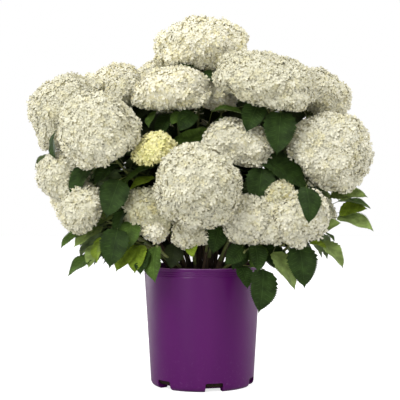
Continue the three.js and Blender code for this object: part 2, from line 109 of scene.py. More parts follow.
# Flower heads: name, the middle at its widest, across, depth, on a tall cane, tint.
HEADS = [
    ("top", (-1, 30, 760), 236, 132, True, "cream"),
    ("upper_right", (135, -106, 671), 228, 118, True, "white"),
    ("far_right", (268, 72, 659), 178, 112, True, "ivory"),
    ("right", (276, -66, 515), 190, 176, True, "ivory"),
    ("far_left", (-306, 4, 611), 190, 158, True, "white"),
    ("left", (-214, -168, 557), 172, 156, True, "white"),
    ("back_left_upper", (-200, 108, 676), 132, 116, True, "cream"),
    ("back_upper", (-122, 220, 690), 140, 120, True, "cream"),
    ("upper_left", (-63, -54, 655), 188, 98, True, "cream"),
    ("upper_middle", (46, 26, 650), 80, 64, True, "cream"),
    ("middle_right", (73, -92, 538), 170, 98, True, "ivory"),
    ("middle_left", (-103, -158, 527), 96, 60, True, "lime"),
    ("front", (-9, -206, 442), 174, 184, False, "white"),
    ("left_low", (-302, -54, 467), 122, 118, False, "white"),
    ("left_lowest", (-253, -136, 400), 116, 78, False, "white"),
    ("front_left_low", (-109, -108, 388), 106, 122, False, "straw"),
    ("front_low", (-31, -132, 350), 82, 62, False, "white"),
    ("front_middle_low", (95, -140, 374), 116, 103, False, "ivory"),
    ("front_right_low", (202, -157, 379), 124, 118, False, "ivory"),
    ("right_low", (262, -40, 388), 82, 68, False, "white"),
    ("rear_upper_right", (112, 216, 688), 188, 116, True, "cream"),
    ("rear_left", (-262, 218, 562), 178, 122, True, "ivory"),
    ("rear_middle", (-18, 302, 582), 200, 128, True, "white"),
    ("rear_right", (218, 238, 546), 190, 128, True, "white"),
    ("rear_low_left", (-150, 292, 428), 178, 124, False, "white"),
    ("rear_low_right", (98, 318, 420), 178, 124, False, "ivory"),
    ("side_low_right", (240, 176, 398), 148, 108, False, "ivory"),
    ("side_low_left", (-290, 112, 430), 148, 108, False, "cream"),
]

# Leafy shoots with no flower: where each one's tip is.
SHOOTS = [
    ("left_front", (-158, -126, 334)),
    ("left_side", (-192, -36, 352)),
    ("right_front", (92, -152, 312)),
    ("right_corner", (184, -60, 320)),
    ("right_side", (206, 40, 352)),
    ("middle_front", (-98, -150, 322)),
    ("rear_left", (-138, 146, 322)),
    ("rear_middle", (-20, 196, 310)),
    ("rear_right", (128, 172, 316)),
    ("inner_right", (150, 10, 560)),
    ("inner_middle", (14, -34, 590)),
    ("inner_left", (-188, 30, 478)),
    ("inner_front", (152, -96, 452)),
    ("inner_rear", (58, 176, 520)),
]

LOW_SHOOT = "right_front"  # its leaves may hang down over the pot, as far as this
LOW_REACH = 182

# Leaves that stand out at the front: the base's place, the tip's x and z, the tone, and degrees
# turned about the midrib. Each tip is nearer the front than its base.
TIP_FORWARD = 24
FRONT_LEAVES = [
    # Left, before the low heads.
    (-176, -166, 463, -201, 386, "deep", 0),
    (-181, -153, 358, -196, 280, "deep", 0),
    (-154, -140, 375, -157, 318, "mid", 0),
    (-100, -138, 321, -101, 247, "mid", 45),
    (-151, -118, 322, -184, 269, "fresh", 20),
    (-222, -100, 361, -276, 320, "pale", 38),
    (-249, -80, 354, -307, 317, "mid", 48),
    (-235, -88, 299, -291, 256, "mid", 46),
    (-227, -100, 323, -246, 275, "pale", 30),
    (-219, -110, 341, -228, 286, "fresh", 50),
    (-208, -110, 444, -234, 405, "pale", 45),
    (-187, -100, 391, -229, 364, "pale", 40),
    (-228, -90, 389, -256, 355, "fresh", 42),
    (-168, -130, 401, -183, 349, "deep", 46),
    (-124, -100, 326, -162, 305, "mid", 56),
    (-249, -116, 494, -277, 426, "deep", 34),
    (-185, -106, 501, -232, 455, "deep", 36),
    (-97, -110, 494, -167, 459, "mid", 56),
    (-99, -114, 468, -156, 442, "fresh", 50),
    (-326, -80, 571, -321, 512, "deep", 66),
    # Left, under the upper heads.
    (-100, -80, 617, -117, 580, "mid", 50),
    (-10, -50, 604, -76, 595, "deep", 52),
    (12, -100, 565, -66, 550, "mid", 60),
    (21, -80, 615, 84, 610, "mid", 52),
    (-21, -84, 614, -50, 571, "deep", 0),
    (-42, -78, 612, -68, 585, "mid", 20),
    (-72, -60, 612, -96, 560, "deep", 30),
    (60, -70, 590, 12, 572, "deep", 30),
    # Right, under the upper heads.
    (120, -130, 628, 95, 568, "deep", 0),
    (169, -138, 610, 159, 520, "deep", 0),
    (128, -110, 510, 224, 442, "deep", 36),
    (129, -130, 489, 117, 409, "deep", 0),
    (214, -226, 447, 217, 375, "deep", 28),
    # Right edge.
    (286, -50, 429, 363, 427, "pale", 35),
    (305, -44, 416, 371, 402, "mid", 60),
    (308, -40, 391, 365, 400, "fresh", 30),
    (302, -50, 380, 376, 353, "pale", 38),
    (265, -60, 355, 304, 369, "pale", 25),
    (263, -60, 351, 291, 329, "mid", 66),
    (235, -90, 325, 269, 315, "fresh", 46),
    (264, -70, 327, 307, 273, "pale", 40),
    # Right, over the pot's rim.
    (87, -140, 319, 50, 284, "deep", 10),
    (113, -136, 323, 118, 269, "deep", 24),
    (83, -140, 278, 95, 233, "deep", 24),
    (130, -140, 271, 120, 184, "deep", 26),
    (154, -118, 307, 197, 231, "pale", 40),
    (88, -120, 322, 66, 272, "deep", 16),
    (128, -112, 322, 104, 276, "mid", 16),
    (133, -60, 312, 188, 262, "deep", 20),
    (209, -138, 321, 217, 237, "deep", 4),
    (36, -130, 362, 23, 307, "deep", 0),
    (-135, -120, 322, -145, 265, "fresh", 20),
    (-122, -128, 310, -133, 262, "deep", 30),
    (-58, -110, 324, -68, 273, "shade", 0),
    (-23, -140, 327, -20, 299, "fresh", 20),
]
# Leaves in the shade tone behind, as painted shade where the sky would show: base and tip.
BACKING_LEAVES = [
    ((-130, 70, 650), (-84, 50, 574)),
    ((20, 70, 650), (56, 50, 578)),
    ((140, 70, 650), (110, 50, 580)),
    ((226, 60, 640), (188, 40, 580)),
    ((-60, 80, 640), (-24, 60, 566)),
    ((40, 80, 636), (74, 60, 590)),
    ((86, 80, 654), (82, 60, 590)),
    ((-122, 84, 636), (-126, 64, 560)),
    ((-132, 66, 656), (-172, 46, 602)),
    # Behind the stems, over the pot's rim.
    ((-112, 96, 318), (-30, 116, 298)),
    ((-38, 124, 312), (46, 124, 294)),
    ((112, 104, 320), (30, 118, 296)),
    ((112, 80, 326), (190, 60, 300)),
    ((-96, 70, 330), (-168, 50, 300)),
    ((-30, 116, 340), (-100, 100, 326)),
    ((20, 120, 338), (90, 110, 322)),
    ((156, 60, 348), (212, 40, 312)),
]
UPPER_LEAVES = [
    # Between the top head and the next.
    (-12, -18, 723, -68, 731, "mid", 30),
    (1, -48, 707, 28, 680, "deep", 20),
]

# Small cymes that close the gaps between heads: place, across, depth and tint.
SPARE_CYMES = [
    ((24, -20, 654), 88, 70, "cream"),
    ((-177, 20, 662), 96, 84, "ivory"),
    ((-259, 60, 686), 62, 54, "cream"),
    ((150, -138, 400), 92, 84, "ivory"),
    ((162, -150, 430), 66, 60, "straw"),
    ((148, -146, 358), 84, 70, "ivory"),
    ((-99, -120, 355), 64, 60, "cream"),
    ((-5, -140, 342), 44, 40, "white"),
    ((345, -66, 512), 66, 60, "ivory"),
]

# Where there are no leaves: the bare stems over the pot's rim, and outside the low heads on
# the left. Each is left, right, low, high and back.
OPENINGS = [(-84, 56, 262, 324, -40), (-420, -285, 200, 400, 30)]

# ---- Small helpers ---------------------------------------------------------------------------


def unit(v):
    return v / np.linalg.norm(v)


def seeded(seed):
    """A repeatable stream of numbers from 0 to 1."""
    a = seed & 0xFFFFFFFF
    while True:
        a = (a + 0x6D2B79F5) & 0xFFFFFFFF
        t = ((a ^ (a >> 15)) * (a | 1)) & 0xFFFFFFFF
        t ^= (t + ((t ^ (t >> 7)) * (t | 61))) & 0xFFFFFFFF
        yield ((t ^ (t >> 14)) & 0xFFFFFFFF) / 4294967296


def pot_radius(z):
    """The pot's outer radius at a height, above its rounded corner."""
    share = (z - POT["corner"]) / (POT["height"] - POT["corner"])
    return POT["foot_radius"] + (POT["rim_radius"] - POT["foot_radius"]) * share


# ---- Stems -----------------------------------------------------------------------------------


class Stem:
    """A cane or shoot: a curve from its foot in the growing medium to its tip."""

    def __init__(self, index, name, at, across=0, deep=0, tall=False, tint=None):
        self.name, self.across, self.deep, self.tall, self.tint = name, across, deep, tall, tint
        self.flowers = tint is not None
        self.centre = np.array(at, float)
        x, y, z = at
        reach = math.hypot(x, y)
        self.outward = np.array([x / reach, y / reach, 0.0])
        self.across3 = np.array([-self.outward[1], self.outward[0], 0.0])
        self.lean = math.atan2(reach, z - SOIL["top"])
        tip = HEAD["tall_tip"] if tall else 1
        self.facing = unit(np.array([x * tip, y * tip, z - CROWN["heart"]]))
        if not self.flowers:
            self.facing = unit(self.outward + 0.25 * UP)
        self.foot = self.outward * (FAN_RADIUS * self.lean / (math.pi / 2))
        self.foot[2] = SOIL["top"] + GAP
        self.seed = 101 + index * 37

    def route(self):
        """Sets the curve from the foot, through two pulls, to the underside of the head."""
        under = self.deep * (1 - HEAD["dome"])
        tip = self.centre - under * CANE["into_head"] * self.facing
        span = np.linalg.norm(tip - self.foot)
        start = self.lean * CANE["bow"]
        rise = math.sin(start) * self.outward + math.cos(start) * UP
        lower = self.foot + span * CANE["lower_pull"] * rise
        upper = tip - span * CANE["upper_pull"] * self.facing
        self.controls = np.array([self.foot, lower, upper, tip])

    def at(self, t):
        t = np.asarray(t, float)[..., None]
        a, b, c, d = self.controls
        return (1 - t) ** 3 * a + 3 * t * (1 - t) ** 2 * b + 3 * t**2 * (1 - t) * c + t**3 * d

    def measure(self):
        """Notes the curve's length, and how far along it each step is."""
        self.ts = np.linspace(0, 1, 201)
        steps = np.linalg.norm(np.diff(self.at(self.ts), axis=0), axis=1)
        self.lengths = np.concatenate([[0], np.cumsum(steps)])
        self.length = self.lengths[-1]

    def top_pair(self):
        """How far from the foot the uppermost pair of leaves is."""
        return self.length - (PAIR["first"] if self.flowers else PAIR["first_on_shoot"])

    def along(self, distance):
        """Share of the length, place, direction and side vector, some way from the foot."""
        share = min(max(distance / self.length, 0), 1)
        t = np.interp(share * self.length, self.lengths, self.ts)
        ahead, behind = self.at(min(t + 1e-4, 1)), self.at(max(t - 1e-4, 0))
        direction = unit(ahead - behind)
        return share, self.at(t), direction, unit(np.cross(self.across3, direction))

    def head_frame(self):
        """Two vectors square to the way the head faces."""
        u = np.cross(UP, self.facing)
        u = unit(u) if np.linalg.norm(u) >= 0.05 else np.array([1.0, 0, 0])
        return u, unit(np.cross(self.facing, u))

    def head_point(self, d, scale=1.0):
        """Places on the head's skin in the directions d, which are in the head's own frame."""
        u, v = self.head_frame()
        x, y, z = d.T
        lump = HEAD["lump"] * (np.sin(3.1 * x + self.seed)
                               + np.sin(3.7 * y + 2.1 * self.seed) * np.cos(2.9 * z))
        n = np.where(z > 0, HEAD["dome_fullness"], HEAD["fullness"])
        full = (np.hypot(x, y) ** n + np.abs(z) ** n) ** (-1 / n)
        s = scale * (1 + lump) * full
        a = self.across / 2
        c = self.deep * np.where(z > 0, HEAD["dome"], 1 - HEAD["dome"])
        return (self.centre + (a * x * s)[:, None] * u + (a * y * s)[:, None] * v
                + (c * z * s)[:, None] * self.facing)


class Heads:
    """All the flower heads as arrays, to test many places at once."""

    def __init__(self, stems):
        self.stems = [s for s in stems + SPARES if s.flowers]
        self.centre = np.array([s.centre for s in self.stems])
        self.facing = np.array([s.facing for s in self.stems])
        self.radius = np.array([s.across / 2 for s in self.stems])
        self.deep = np.array([s.deep for s in self.stems])

    def hold(self, p, clearance):
        """For each place and each head: True if the place is in the head or too near it."""
        d = p[:, None, :] - self.centre
        z = np.einsum("phk,hk->ph", d, self.facing)
        flat = np.maximum((d**2).sum(2) - z**2, 0)
        share = np.where(z > 0, HEAD["dome"], 1 - HEAD["dome"])
        a, c = self.radius + clearance, self.deep * share + clearance
        return flat / a**2 + (z / c) ** 2 < HEAD["margin"]

    def hidden_by(self, p):
        """For each place and each head: True if a leaf there would hang before the head."""
        d = p[:, None, :] - self.centre
        away = np.hypot(d[:, :, 0], d[:, :, 2])
        return ((self.centre[:, 1] < HEAD["shown_to"]) & (d[:, :, 1] < 0)
                & (away < self.radius * HEAD["shown"]))


FIRST_SPARE = 60  # their numbers start past every stem's
SPARES = [Stem(FIRST_SPARE + i, None, at, across, deep, False, tint)
          for i, (at, across, deep, tint) in enumerate(SPARE_CYMES)]


def plant_stems():
    """The stems, with their feet moved apart, and the heads that they carry."""
    stems = [Stem(i, n, at, across, deep, tall, tint)
             for i, (n, at, across, deep, tall, tint) in enumerate(HEADS)]
    stems += [Stem(len(HEADS) + i, n, at) for i, (n, at) in enumerate(SHOOTS)]
    for _ in range(FOOT_ROUNDS):
        for i, a in enumerate(stems):
            for b in stems[i + 1:]:
                between = b.foot - a.foot
                short = FOOT_ROOM - np.linalg.norm(between)
                if short > 0:
                    between = unit(between) * short / 2
                    a.foot = a.foot - between
                    b.foot = b.foot + between
    heads = Heads(stems)
    for stem in stems:
        stem.route()
        steer_clear(stem, heads)
        stem.measure()
    return stems, heads


def steer_clear(stem, heads):
    """Bends a cane's curve away from every other stem's flower head."""
    others = np.array([s is not stem for s in heads.stems])
    for _ in range(CANE["steer_rounds"]):
        moved = False
        for t in np.arange(1, 20) * 0.05:
            p = stem.at(t)
            for k in np.nonzero(heads.hold(p[None], CANE["clearance"])[0] & others)[0]:
                push = unit(p - heads.centre[k]) * CANE["steer_step"]
                stem.controls[1] += push * (1 - t)
                stem.controls[2] += push * t
                moved = True
        if not moved:
            break


# ---- Leaves, as a rule -----------------------------------------------------------------------


def leaf_half_width(u):
    """A leaf's half width at a share of its length: a rounded base and a pointed tip."""
    u = np.clip(u, 0, 1)
    return LEAF["half_width"] * LEAF["outline"] * np.sqrt(u) * (1 - u) ** LEAF["taper"]


class Leaf:
    """A leaf: its root on the stem, and a blade that starts at the stalk's end and bends."""

    def __init__(self, root, start, along, bend, length, droop, tone=None):
        self.root, self.start, self.along, self.bend = root, start, along, bend
        self.wide = np.cross(along, bend)
        self.length, self.droop, self.tone = length, droop, tone

    def at(self, u, v, raised=0.0):
        """Places at u along the blade and v across it, from -1 to 1."""
        u, v = np.asarray(u, float), np.asarray(v, float)
        angle = self.droop * u
        forward = self.length * np.sin(angle) / self.droop
        sunk = self.length * (1 - np.cos(angle)) / self.droop
        half = self.length * leaf_half_width(u) * v
        lift = raised + LEAF["fold"] * np.abs(half)
        return (self.start + (forward + lift * np.sin(angle))[..., None] * self.along
                + (sunk - lift * np.cos(angle))[..., None] * self.bend
                + half[..., None] * self.wide)

    def probes(self):
        """Places that stand for the leaf in the tests for room: three on its stalk first."""
        stalk = self.root + np.array([0.3, 0.6, 0.85])[:, None] * (self.start - self.root)
        u, v = np.meshgrid(np.arange(11) / 10, [-1, -0.7, -0.35, 0, 0.35, 0.7, 1], indexing="ij")
        return np.concatenate([stalk, self.at(u.ravel(), v.ravel())])


def leaf_on_stem(place, direction, out, length, stalk, lift, droop, roll):
    """A leaf whose stalk leaves the stem at a place, and whose blade bends down."""
    way = unit(math.cos(lift) * out + math.sin(lift) * direction)
    flat = np.array([way[0], way[1], 0])
    along = unit(way + LEAF["outwards"] * flat - LEAF["downwards"] * UP)
    down = unit(along[2] * along - UP)
    bend = math.cos(roll) * down + math.sin(roll) * np.cross(along, down)
    return Leaf(place - LEAF["petiole"] * out, place + stalk * way, along, bend, length, droop)


SHOWN_CELL = 14


class Taken:
    """A store of places already taken, which finds any near a new one."""

    def __init__(self, cell=44):
        self.cell, self.cells, self.seen = cell, {}, {}

    def add(self, places, owners):
        for p, owner in zip(places, owners):
            key = tuple((p // self.cell).astype(int))
            self.cells.setdefault(key, []).append((*p, owner))

    def show(self, places):
        """Keeps the view of these places clear from the front."""
        for x, y, z in places:
            key = (int(x // SHOWN_CELL), int(z // SHOWN_CELL))
            self.seen[key] = max(y, self.seen.get(key, y))

    def hides(self, places):
        """True if any of the places is before one that is shown."""
        return any(y < self.seen.get((int(x // SHOWN_CELL), int(z // SHOWN_CELL)), -1e9)
                   for x, y, z in places)

    def near(self, places, own, clearance):
        """True if a place is too near a taken one; the first three ignore their own stem."""
        low = ((places.min(0) - clearance) // self.cell).astype(int)
        high = ((places.max(0) + clearance) // self.cell).astype(int)
        found = []
        for i in range(low[0], high[0] + 1):
            for j in range(low[1], high[1] + 1):
                for k in range(low[2], high[2] + 1):
                    found += self.cells.get((i, j, k), [])
        if not found:
            return False
        found = np.array(found)
        gap = ((places[:, None, :] - found[None, :, :3]) ** 2).sum(2) < clearance**2
        gap[:3] &= found[:, 3] != own
        return bool(gap.any())


def in_crown(p):
    """For each place: True if it is within the plant's outline."""
    x, y, z = p.T
    height = (z - CROWN["level"]) / np.where(z > CROWN["level"], CROWN["rise"], CROWN["fall"])
    return (x / CROWN["reach"]) ** 2 + (y / CROWN["depth"]) ** 2 + height**2 < 1


def in_opening(p):
    x, y, z = p.T
    return np.any([(x > left) & (x < right) & (z > low) & (z < high) & (y < back)
                   for left, right, low, high, back in OPENINGS], axis=0)


def in_pot(p):
    room = 5
    x, y, z = p.T
    wall = pot_radius(np.minimum(z, POT["height"]))
    return (z < POT["height"] + room) & (np.hypot(x, y) < wall + room)


FRONT = np.array([0, -0.94, 0.34])  # where a leaf at the front turns its face


def leaf_between(base, tip, turned, tone, droop=0.6):
    """A leaf from its base to its tip, with its face to the front or turned about its midrib."""
    base, tip = np.array(base, float), np.array(tip, float)
    chord = unit(tip - base)
    out = unit(FRONT - chord * (FRONT @ chord))
    aside = np.cross(chord, out) * math.copysign(1, -base[0])
    out = math.cos(math.radians(turned)) * out + math.sin(math.radians(turned)) * aside
    back = unit(chord * (out @ chord) - out)
    along = math.cos(droop / 2) * chord - math.sin(droop / 2) * back
    bend = math.sin(droop / 2) * chord + math.cos(droop / 2) * back
    length = np.linalg.norm(tip - base) * (droop / 2) / math.sin(droop / 2)
    return Leaf(base, base, along, bend, length, droop, tone)


def listed_leaves():
    """The leaves that are placed one by one."""
    def hung(x, y, z, tip_x, tip_z, tone, turned):
        return leaf_between((x, y, z), (tip_x, y - TIP_FORWARD, tip_z), turned, tone)

    return ([hung(*row) for row in FRONT_LEAVES]
            + [leaf_between(base, tip, 0, "shade") for base, tip in BACKING_LEAVES]
            + [hung(*row) for row in UPPER_LEAVES])


def grow_front_leaves(stems, taken):
    """The listed leaves, each with a stalk from the nearest stem that isn't above it."""
    places = np.concatenate([[stem.along(s)[1] for s in np.arange(0, stem.length, 10)]
                             for stem in stems])
    grown = listed_leaves()
    for leaf in grown:
        away = np.linalg.norm(places - leaf.start, axis=1)
        above = places[:, 2] > leaf.start[2] + 10
        leaf.root = places[np.argmin(away + 200 * above + 60 * (away < 25))]
        probes = leaf.probes()
        taken.add(probes, [BLADE] * len(probes))
        taken.show(probes[3:])
    return grown


BLADE = -1  # the owner number of every leaf blade


def grow_leaves(stems, heads, taken, size, offset, clearance, seed_shift, stalk_size, raised):
    """Grows every stem's leaves in pairs from the top down, and skips what has no room."""
    grown_leaves = []
    for number, stem in enumerate(stems):
        random = seeded(stem.seed + seed_shift)
        bottom = stem.length * SHOOT_BARE
        if stem.tall:
            bottom = stem.length - SPRAY_LENGTH + SPRAY_MARGIN
        distance = stem.top_pair() - offset
        lowest = raised + (LOW_REACH if stem.name == LOW_SHOOT else LEAF["lowest"])
        pair = 0
        while distance > bottom:
            _, place, direction, side = stem.along(distance)
            square = np.cross(direction, side)
            quarter = pair * math.pi / 2 + CHANCE["quarter"] * next(random)
            for opposite in (0, math.pi):
                age = min(1, (pair + 0.6) / 2)
                grown = (LEAF["youngest"] + (1 - LEAF["youngest"]) * age
                         + CHANCE["size"] * next(random))
                for turn in range(LEAF["turns"]):
                    aside = (1 if turn % 2 else -1) * math.ceil(turn / 2) * LEAF["turn"]
                    swing = quarter + opposite + aside
                    out = math.cos(swing) * side + math.sin(swing) * square
                    length = size * grown * (1 - LEAF["shrink"] * turn)
                    stalk = (LEAF["stalk"] + LEAF["stalk_growth"] * grown
                             + CHANCE["stalk"] * next(random)) * stalk_size
                    lift = LEAF["lift"] + CHANCE["lift"] * next(random)
                    droop = LEAF["droop"] + CHANCE["droop"] * next(random)
                    roll = CHANCE["roll"] * (next(random) - 0.5)
                    leaf = leaf_on_stem(place, direction, out, length, stalk, lift, droop, roll)
                    probes = leaf.probes()
                    if (not in_crown(probes).all() or probes[:, 2].min() < lowest
                            or in_pot(probes).any() or in_opening(probes).any()
                            or heads.hold(probes, HEAD["clearance"]).any()
                            or heads.hidden_by(probes).any()
                            or taken.hides(probes)
                            or taken.near(probes, number, clearance)):
                        continue
                    taken.add(probes, [number] * 3 + [BLADE] * (len(probes) - 3))
                    grown_leaves.append(leaf)
                    break
            distance -= PAIR["spacing"] + PAIR["growth"] * pair
            pair += 1
    return grown_leaves


# Rounds of growth, with smaller leaves in the room that is left: the leaf's length, how far
# down each stem as a share of the spacing, clearance, seed shift, stalk, and how much higher.
LARGE_ROUNDS = [(LEAF["length"], 0, LEAF["clearance"], 0, 1.0, 0), (104, 1 / 2, 5, 3, 1.2, 16)]
SMALL_ROUNDS = [(78, 1 / 3, 4, 5, 0.8, 20), (70, 0.8, 2.5, 9, 1.4, 24),
                (84, 0.55, 2.5, 12, 2.2, 24), (88, 0.4, 2, 15, 1.0, 24)]


def grow_plant():
    """The stems, the large leaves and the small ones."""
    stems, heads = plant_stems()
    taken = Taken()
    for number, stem in enumerate(stems):
        steps = np.arange(0, stem.length, LEAF["clearance"] * 0.8)
        taken.add(np.array([stem.along(s)[1] for s in steps]), [number] * len(steps))
    large, small = grow_front_leaves(stems, taken), []
    for leaves, rounds in ((large, LARGE_ROUNDS), (small, SMALL_ROUNDS)):
        for size, down, *rest in rounds:
            leaves.extend(grow_leaves(stems, heads, taken, size, PAIR["spacing"] * down, *rest))
    return stems, large, small


# ---- Node trees ------------------------------------------------------------------------------


class Tree:
    """A node tree that is built one node a call."""

    def __init__(self, tree):
        self.tree = tree

    def put(self, value, socket):
        value = value.socket if isinstance(value, Number) else value
        if isinstance(value, bpy.types.NodeSocket):
            self.tree.links.new(value, socket)
        else:
            socket.default_value = value

    def node(self, kind, settings=None, inputs=None):
        made = self.tree.nodes.new(kind)
        for key, value in (settings or {}).items():
            setattr(made, key, value)
        for key, value in (inputs or {}).items():
            self.put(value, made.inputs[key])
        return made


class Scatter(Tree):
    """A node group that scatters small forms over a surface, as real geometry."""

    def __init__(self, name, *inputs):
        super().__init__(bpy.data.node_groups.new(name, "GeometryNodeTree"))
        self.socket("INPUT", "Geometry", "Geometry")
        for row in inputs:
            self.socket("INPUT", *row)
        self.socket("OUTPUT", "Geometry", "Geometry")
        self.given = self.node("NodeGroupInput").outputs

    def socket(self, way, name, kind, value=None):
        made = self.tree.interface.new_socket(name, in_out=way, socket_type="NodeSocket" + kind)
        if value is not None:
            made.default_value = value

    def points(self, density, **more):
        """Points spread over the surface, no nearer to one another than the spacing."""
        return self.node("GeometryNodeDistributePointsOnFaces",
                         dict(distribute_method="POISSON"),
                         {"Mesh": self.given["Geometry"], "Distance Min": self.given["Spacing"],
                          "Density Max": density, "Seed": self.given["Seed"], **more}).outputs

    def random(self, low, high, seed):
        """A random number or vector for each point, from low to high."""
        vector = isinstance(low, tuple)
        kind = "FLOAT_VECTOR" if vector else "FLOAT"
        first = 0 if vector else 2
        return self.node("FunctionNodeRandomValue", dict(data_type=kind),
                         {first: low, first + 1: high, "Seed": seed}).outputs[0 if vector else 1]

    def scaled(self, vector, factor):
        return self.node("ShaderNodeVectorMath", dict(operation="SCALE"),
                         {0: vector, "Scale": factor}).outputs[0]

    def compared(self, operation, first, second):
        return self.node("FunctionNodeCompare", dict(operation=operation),
                         {0: first, 1: second}).outputs[0]

    def end(self, **instances):
        """Puts an instance on each point, makes them real and gives them the finish."""
        named = {key.replace("_", " "): value for key, value in instances.items()}
        spread = self.node("GeometryNodeInstanceOnPoints", None, named).outputs[0]
        real = self.node("GeometryNodeRealizeInstances", None, {"Geometry": spread}).outputs[0]
        worn = self.node("GeometryNodeSetMaterial", None,
                         {"Geometry": real, "Material": self.given["Finish"]}).outputs[0]
        self.put(worn, self.node("NodeGroupOutput").inputs[0])
        return self.tree


class Number:
    """A socket in a sum: an expression on it adds the Math nodes that work it out."""

    def __init__(self, tree, socket):
        self.tree, self.socket = tree, socket

    def _math(self, operation, *values):
        made = self.tree.node("ShaderNodeMath", dict(operation=operation),
                              dict(enumerate(values)))
        return Number(self.tree, made.outputs[0])

    def __add__(self, other):
        return self._math("ADD", self, other)

    def __mul__(self, other):
        return self._math("MULTIPLY", self, other)

    def __sub__(self, other):
        return self._math("SUBTRACT", self, other)

    def __rsub__(self, other):
        return self._math("SUBTRACT", other, self)

    __radd__ = __add__
    __rmul__ = __mul__

    def clamped(self):
        return self._math("MINIMUM", self._math("MAXIMUM", self, 0.0), 1.0)


def linear(red, green, blue):
    """A colour's linear values from its numbers out of 255."""
    def one(c):
        c /= 255
        return c / 12.92 if c <= 0.04045 else ((c + 0.055) / 1.055) ** 2.4
    return (one(red), one(green), one(blue), 1.0)


class Finish(Tree):
    """A material: one Principled shader, with helpers for the patterns that feed it."""

    def __init__(self, name, roughness=0.5, **constants):
        self.material = bpy.data.materials.new(name)
        self.material.use_nodes = True
        super().__init__(self.material.node_tree)
        self.shader = self.tree.nodes["Principled BSDF"]
        self.shader.inputs["Roughness"].default_value = roughness
        for key, value in constants.items():
            self.shader.inputs[key.replace("_", " ")].default_value = value
        self.place = self.node("ShaderNodeTexCoord").outputs["Object"]

    def stretched(self, scale):
        return self.node("ShaderNodeMapping", None,
                         dict(Vector=self.place, Scale=scale)).outputs[0]

    def noise(self, scale, detail=2.0, place=None, roughness=0.5):
        made = self.node("ShaderNodeTexNoise", None,
                         dict(Vector=place or self.place, Scale=scale, Detail=detail,
                              Roughness=roughness))
        return Number(self, made.outputs[0])

    def between(self, share, low, high):
        """A colour between two, by a share."""
        made = self.node("ShaderNodeMix", dict(data_type="RGBA"), {0: share, 6: low, 7: high})
        return made.outputs[2]

    def sharper(self, share, low, high):
        """A share stretched so that low becomes 0 and high becomes 1."""
        return ((share - low) * (1 / (high - low))).clamped()

    def colour(self, value):
        self.put(value, self.shader.inputs["Base Color"])

    def bump(self, height, strength, distance):
        made = self.node("ShaderNodeBump", None,
                         dict(Height=height, Strength=strength, Distance=distance))
        self.put(made.outputs[0], self.shader.inputs["Normal"])


def lighter(colour, factor):
    return (*(min(1.0, c * factor) for c in colour[:3]), 1.0)


# ---- Finishes --------------------------------------------------------------------------------


def petal_finish(name, colour, deep):
    """Thin matte petals, mottled from floret to floret."""
    f = Finish(name, 0.8, Specular_IOR_Level=0.15, Subsurface_Weight=0.3,
               Subsurface_Scale=0.005, Subsurface_Radius=(1, 0.9, 0.75))
    patches = f.sharper(f.noise(95, 3), 0.36, 0.64)
    f.colour(f.between(patches, deep, colour))
    return f.material


def leaf_finish(name, colour, roughness, gloss):
    """A leaf's skin: soft blotches of lighter and darker green, and a fine grain."""
    f = Finish(name, roughness, Specular_IOR_Level=gloss)
    blotch = f.sharper(f.noise(60, 5), 0.3, 0.7)
    f.colour(f.between(blotch, lighter(colour, 0.6), lighter(colour, 1.45)))
    f.bump(f.noise(900, 2), 0.25, 0.0004)
    return f.material


def bark_finish(name, dark, light, roughness=0.85):
    """Papery bark in streaks that run up the cane."""
    f = Finish(name, roughness)
    streak = f.noise(1.0, 4, f.stretched((420, 420, 45)), 0.6)
    f.colour(f.between(f.sharper(streak, 0.35, 0.66), dark, light))
    f.bump(streak, 0.6, 0.0012)
    return f.material


def pot_finish():
    """Blow-moulded plastic with a satin skin, faintly wavy, scuffed near the ground, and with a
    painted highlight along the top of the rim.
    """
    f = Finish("pot_plastic", 0.4, Specular_IOR_Level=0.2, Coat_Roughness=0.2,
               Coat_Weight=0.06)
    height = Number(f, f.node("ShaderNodeSeparateXYZ", None, dict(Vector=f.place)).outputs[2])
    streaks = f.noise(1.0, 5, f.stretched((14, 14, 2.2)), 0.6)
    scuff = f.sharper(f.noise(160, 6, None, 0.7), 0.56, 0.72)
    low = (1 - height * 9.0).clamped()
    tone = f.between(streaks, linear(72, 6, 80), linear(85, 9, 90))
    worn = (scuff * (low * 0.25 + 0.02)).clamped()
    # Painted highlight: over the rim's top 2.4 mm the colour blends up to halfway towards a pale
    # purple.
    top = POT["height"] * MM
    rim = f.sharper(height, top - 0.0024, top) * 0.5
    wall = f.between(worn, tone, linear(132, 92, 136))
    f.colour(f.between(rim, wall, linear(190, 150, 192)))
    f.put((f.noise(30, 4) * 0.16 + worn * 0.25 + 0.27).clamped(), f.shader.inputs["Roughness"])
    f.bump(f.noise(22, 3) * 0.8 + f.noise(700, 2) * 0.05, 0.5, 0.0012)
    return f.material


def soil_finish(name, dark, light):
    f = Finish(name, 0.95, Specular_IOR_Level=0.2)
    grain = f.noise(260, 5, None, 0.7)
    f.colour(f.between(f.sharper(grain, 0.35, 0.7), dark, light))
    f.bump(grain, 0.9, 0.003)
    return f.material


# ---- Meshes ----------------------------------------------------------------------------------


def finish_piece(obj, slot, *nodes):
    """Puts a finished piece on the plant's body, and hides any imported solids that it stands in for.
    The slot is not used.
    """
    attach(obj, BODY)
    if nodes:
        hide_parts(*nodes)


def mesh_object(name, points, faces, materials, slots=None, smooth=True, sharp=None):
    """A piece from places in millimetres and a list of faces."""
    mesh = bpy.data.meshes.new(name)
    mesh.from_pydata((np.asarray(points) * MM).tolist(), [], faces)
    for material in materials:
        mesh.materials.append(material)
    if slots is not None:
        mesh.polygons.foreach_set("material_index", np.asarray(slots, np.int32))
    mesh.polygons.foreach_set("use_smooth", np.full(len(mesh.polygons), smooth))
    if sharp is not None:
        mesh.set_sharp_from_angle(angle=math.radians(sharp))
    mesh.update()
    obj = bpy.data.objects.new(name, mesh)
    bpy.context.scene.collection.objects.link(obj)
    return obj


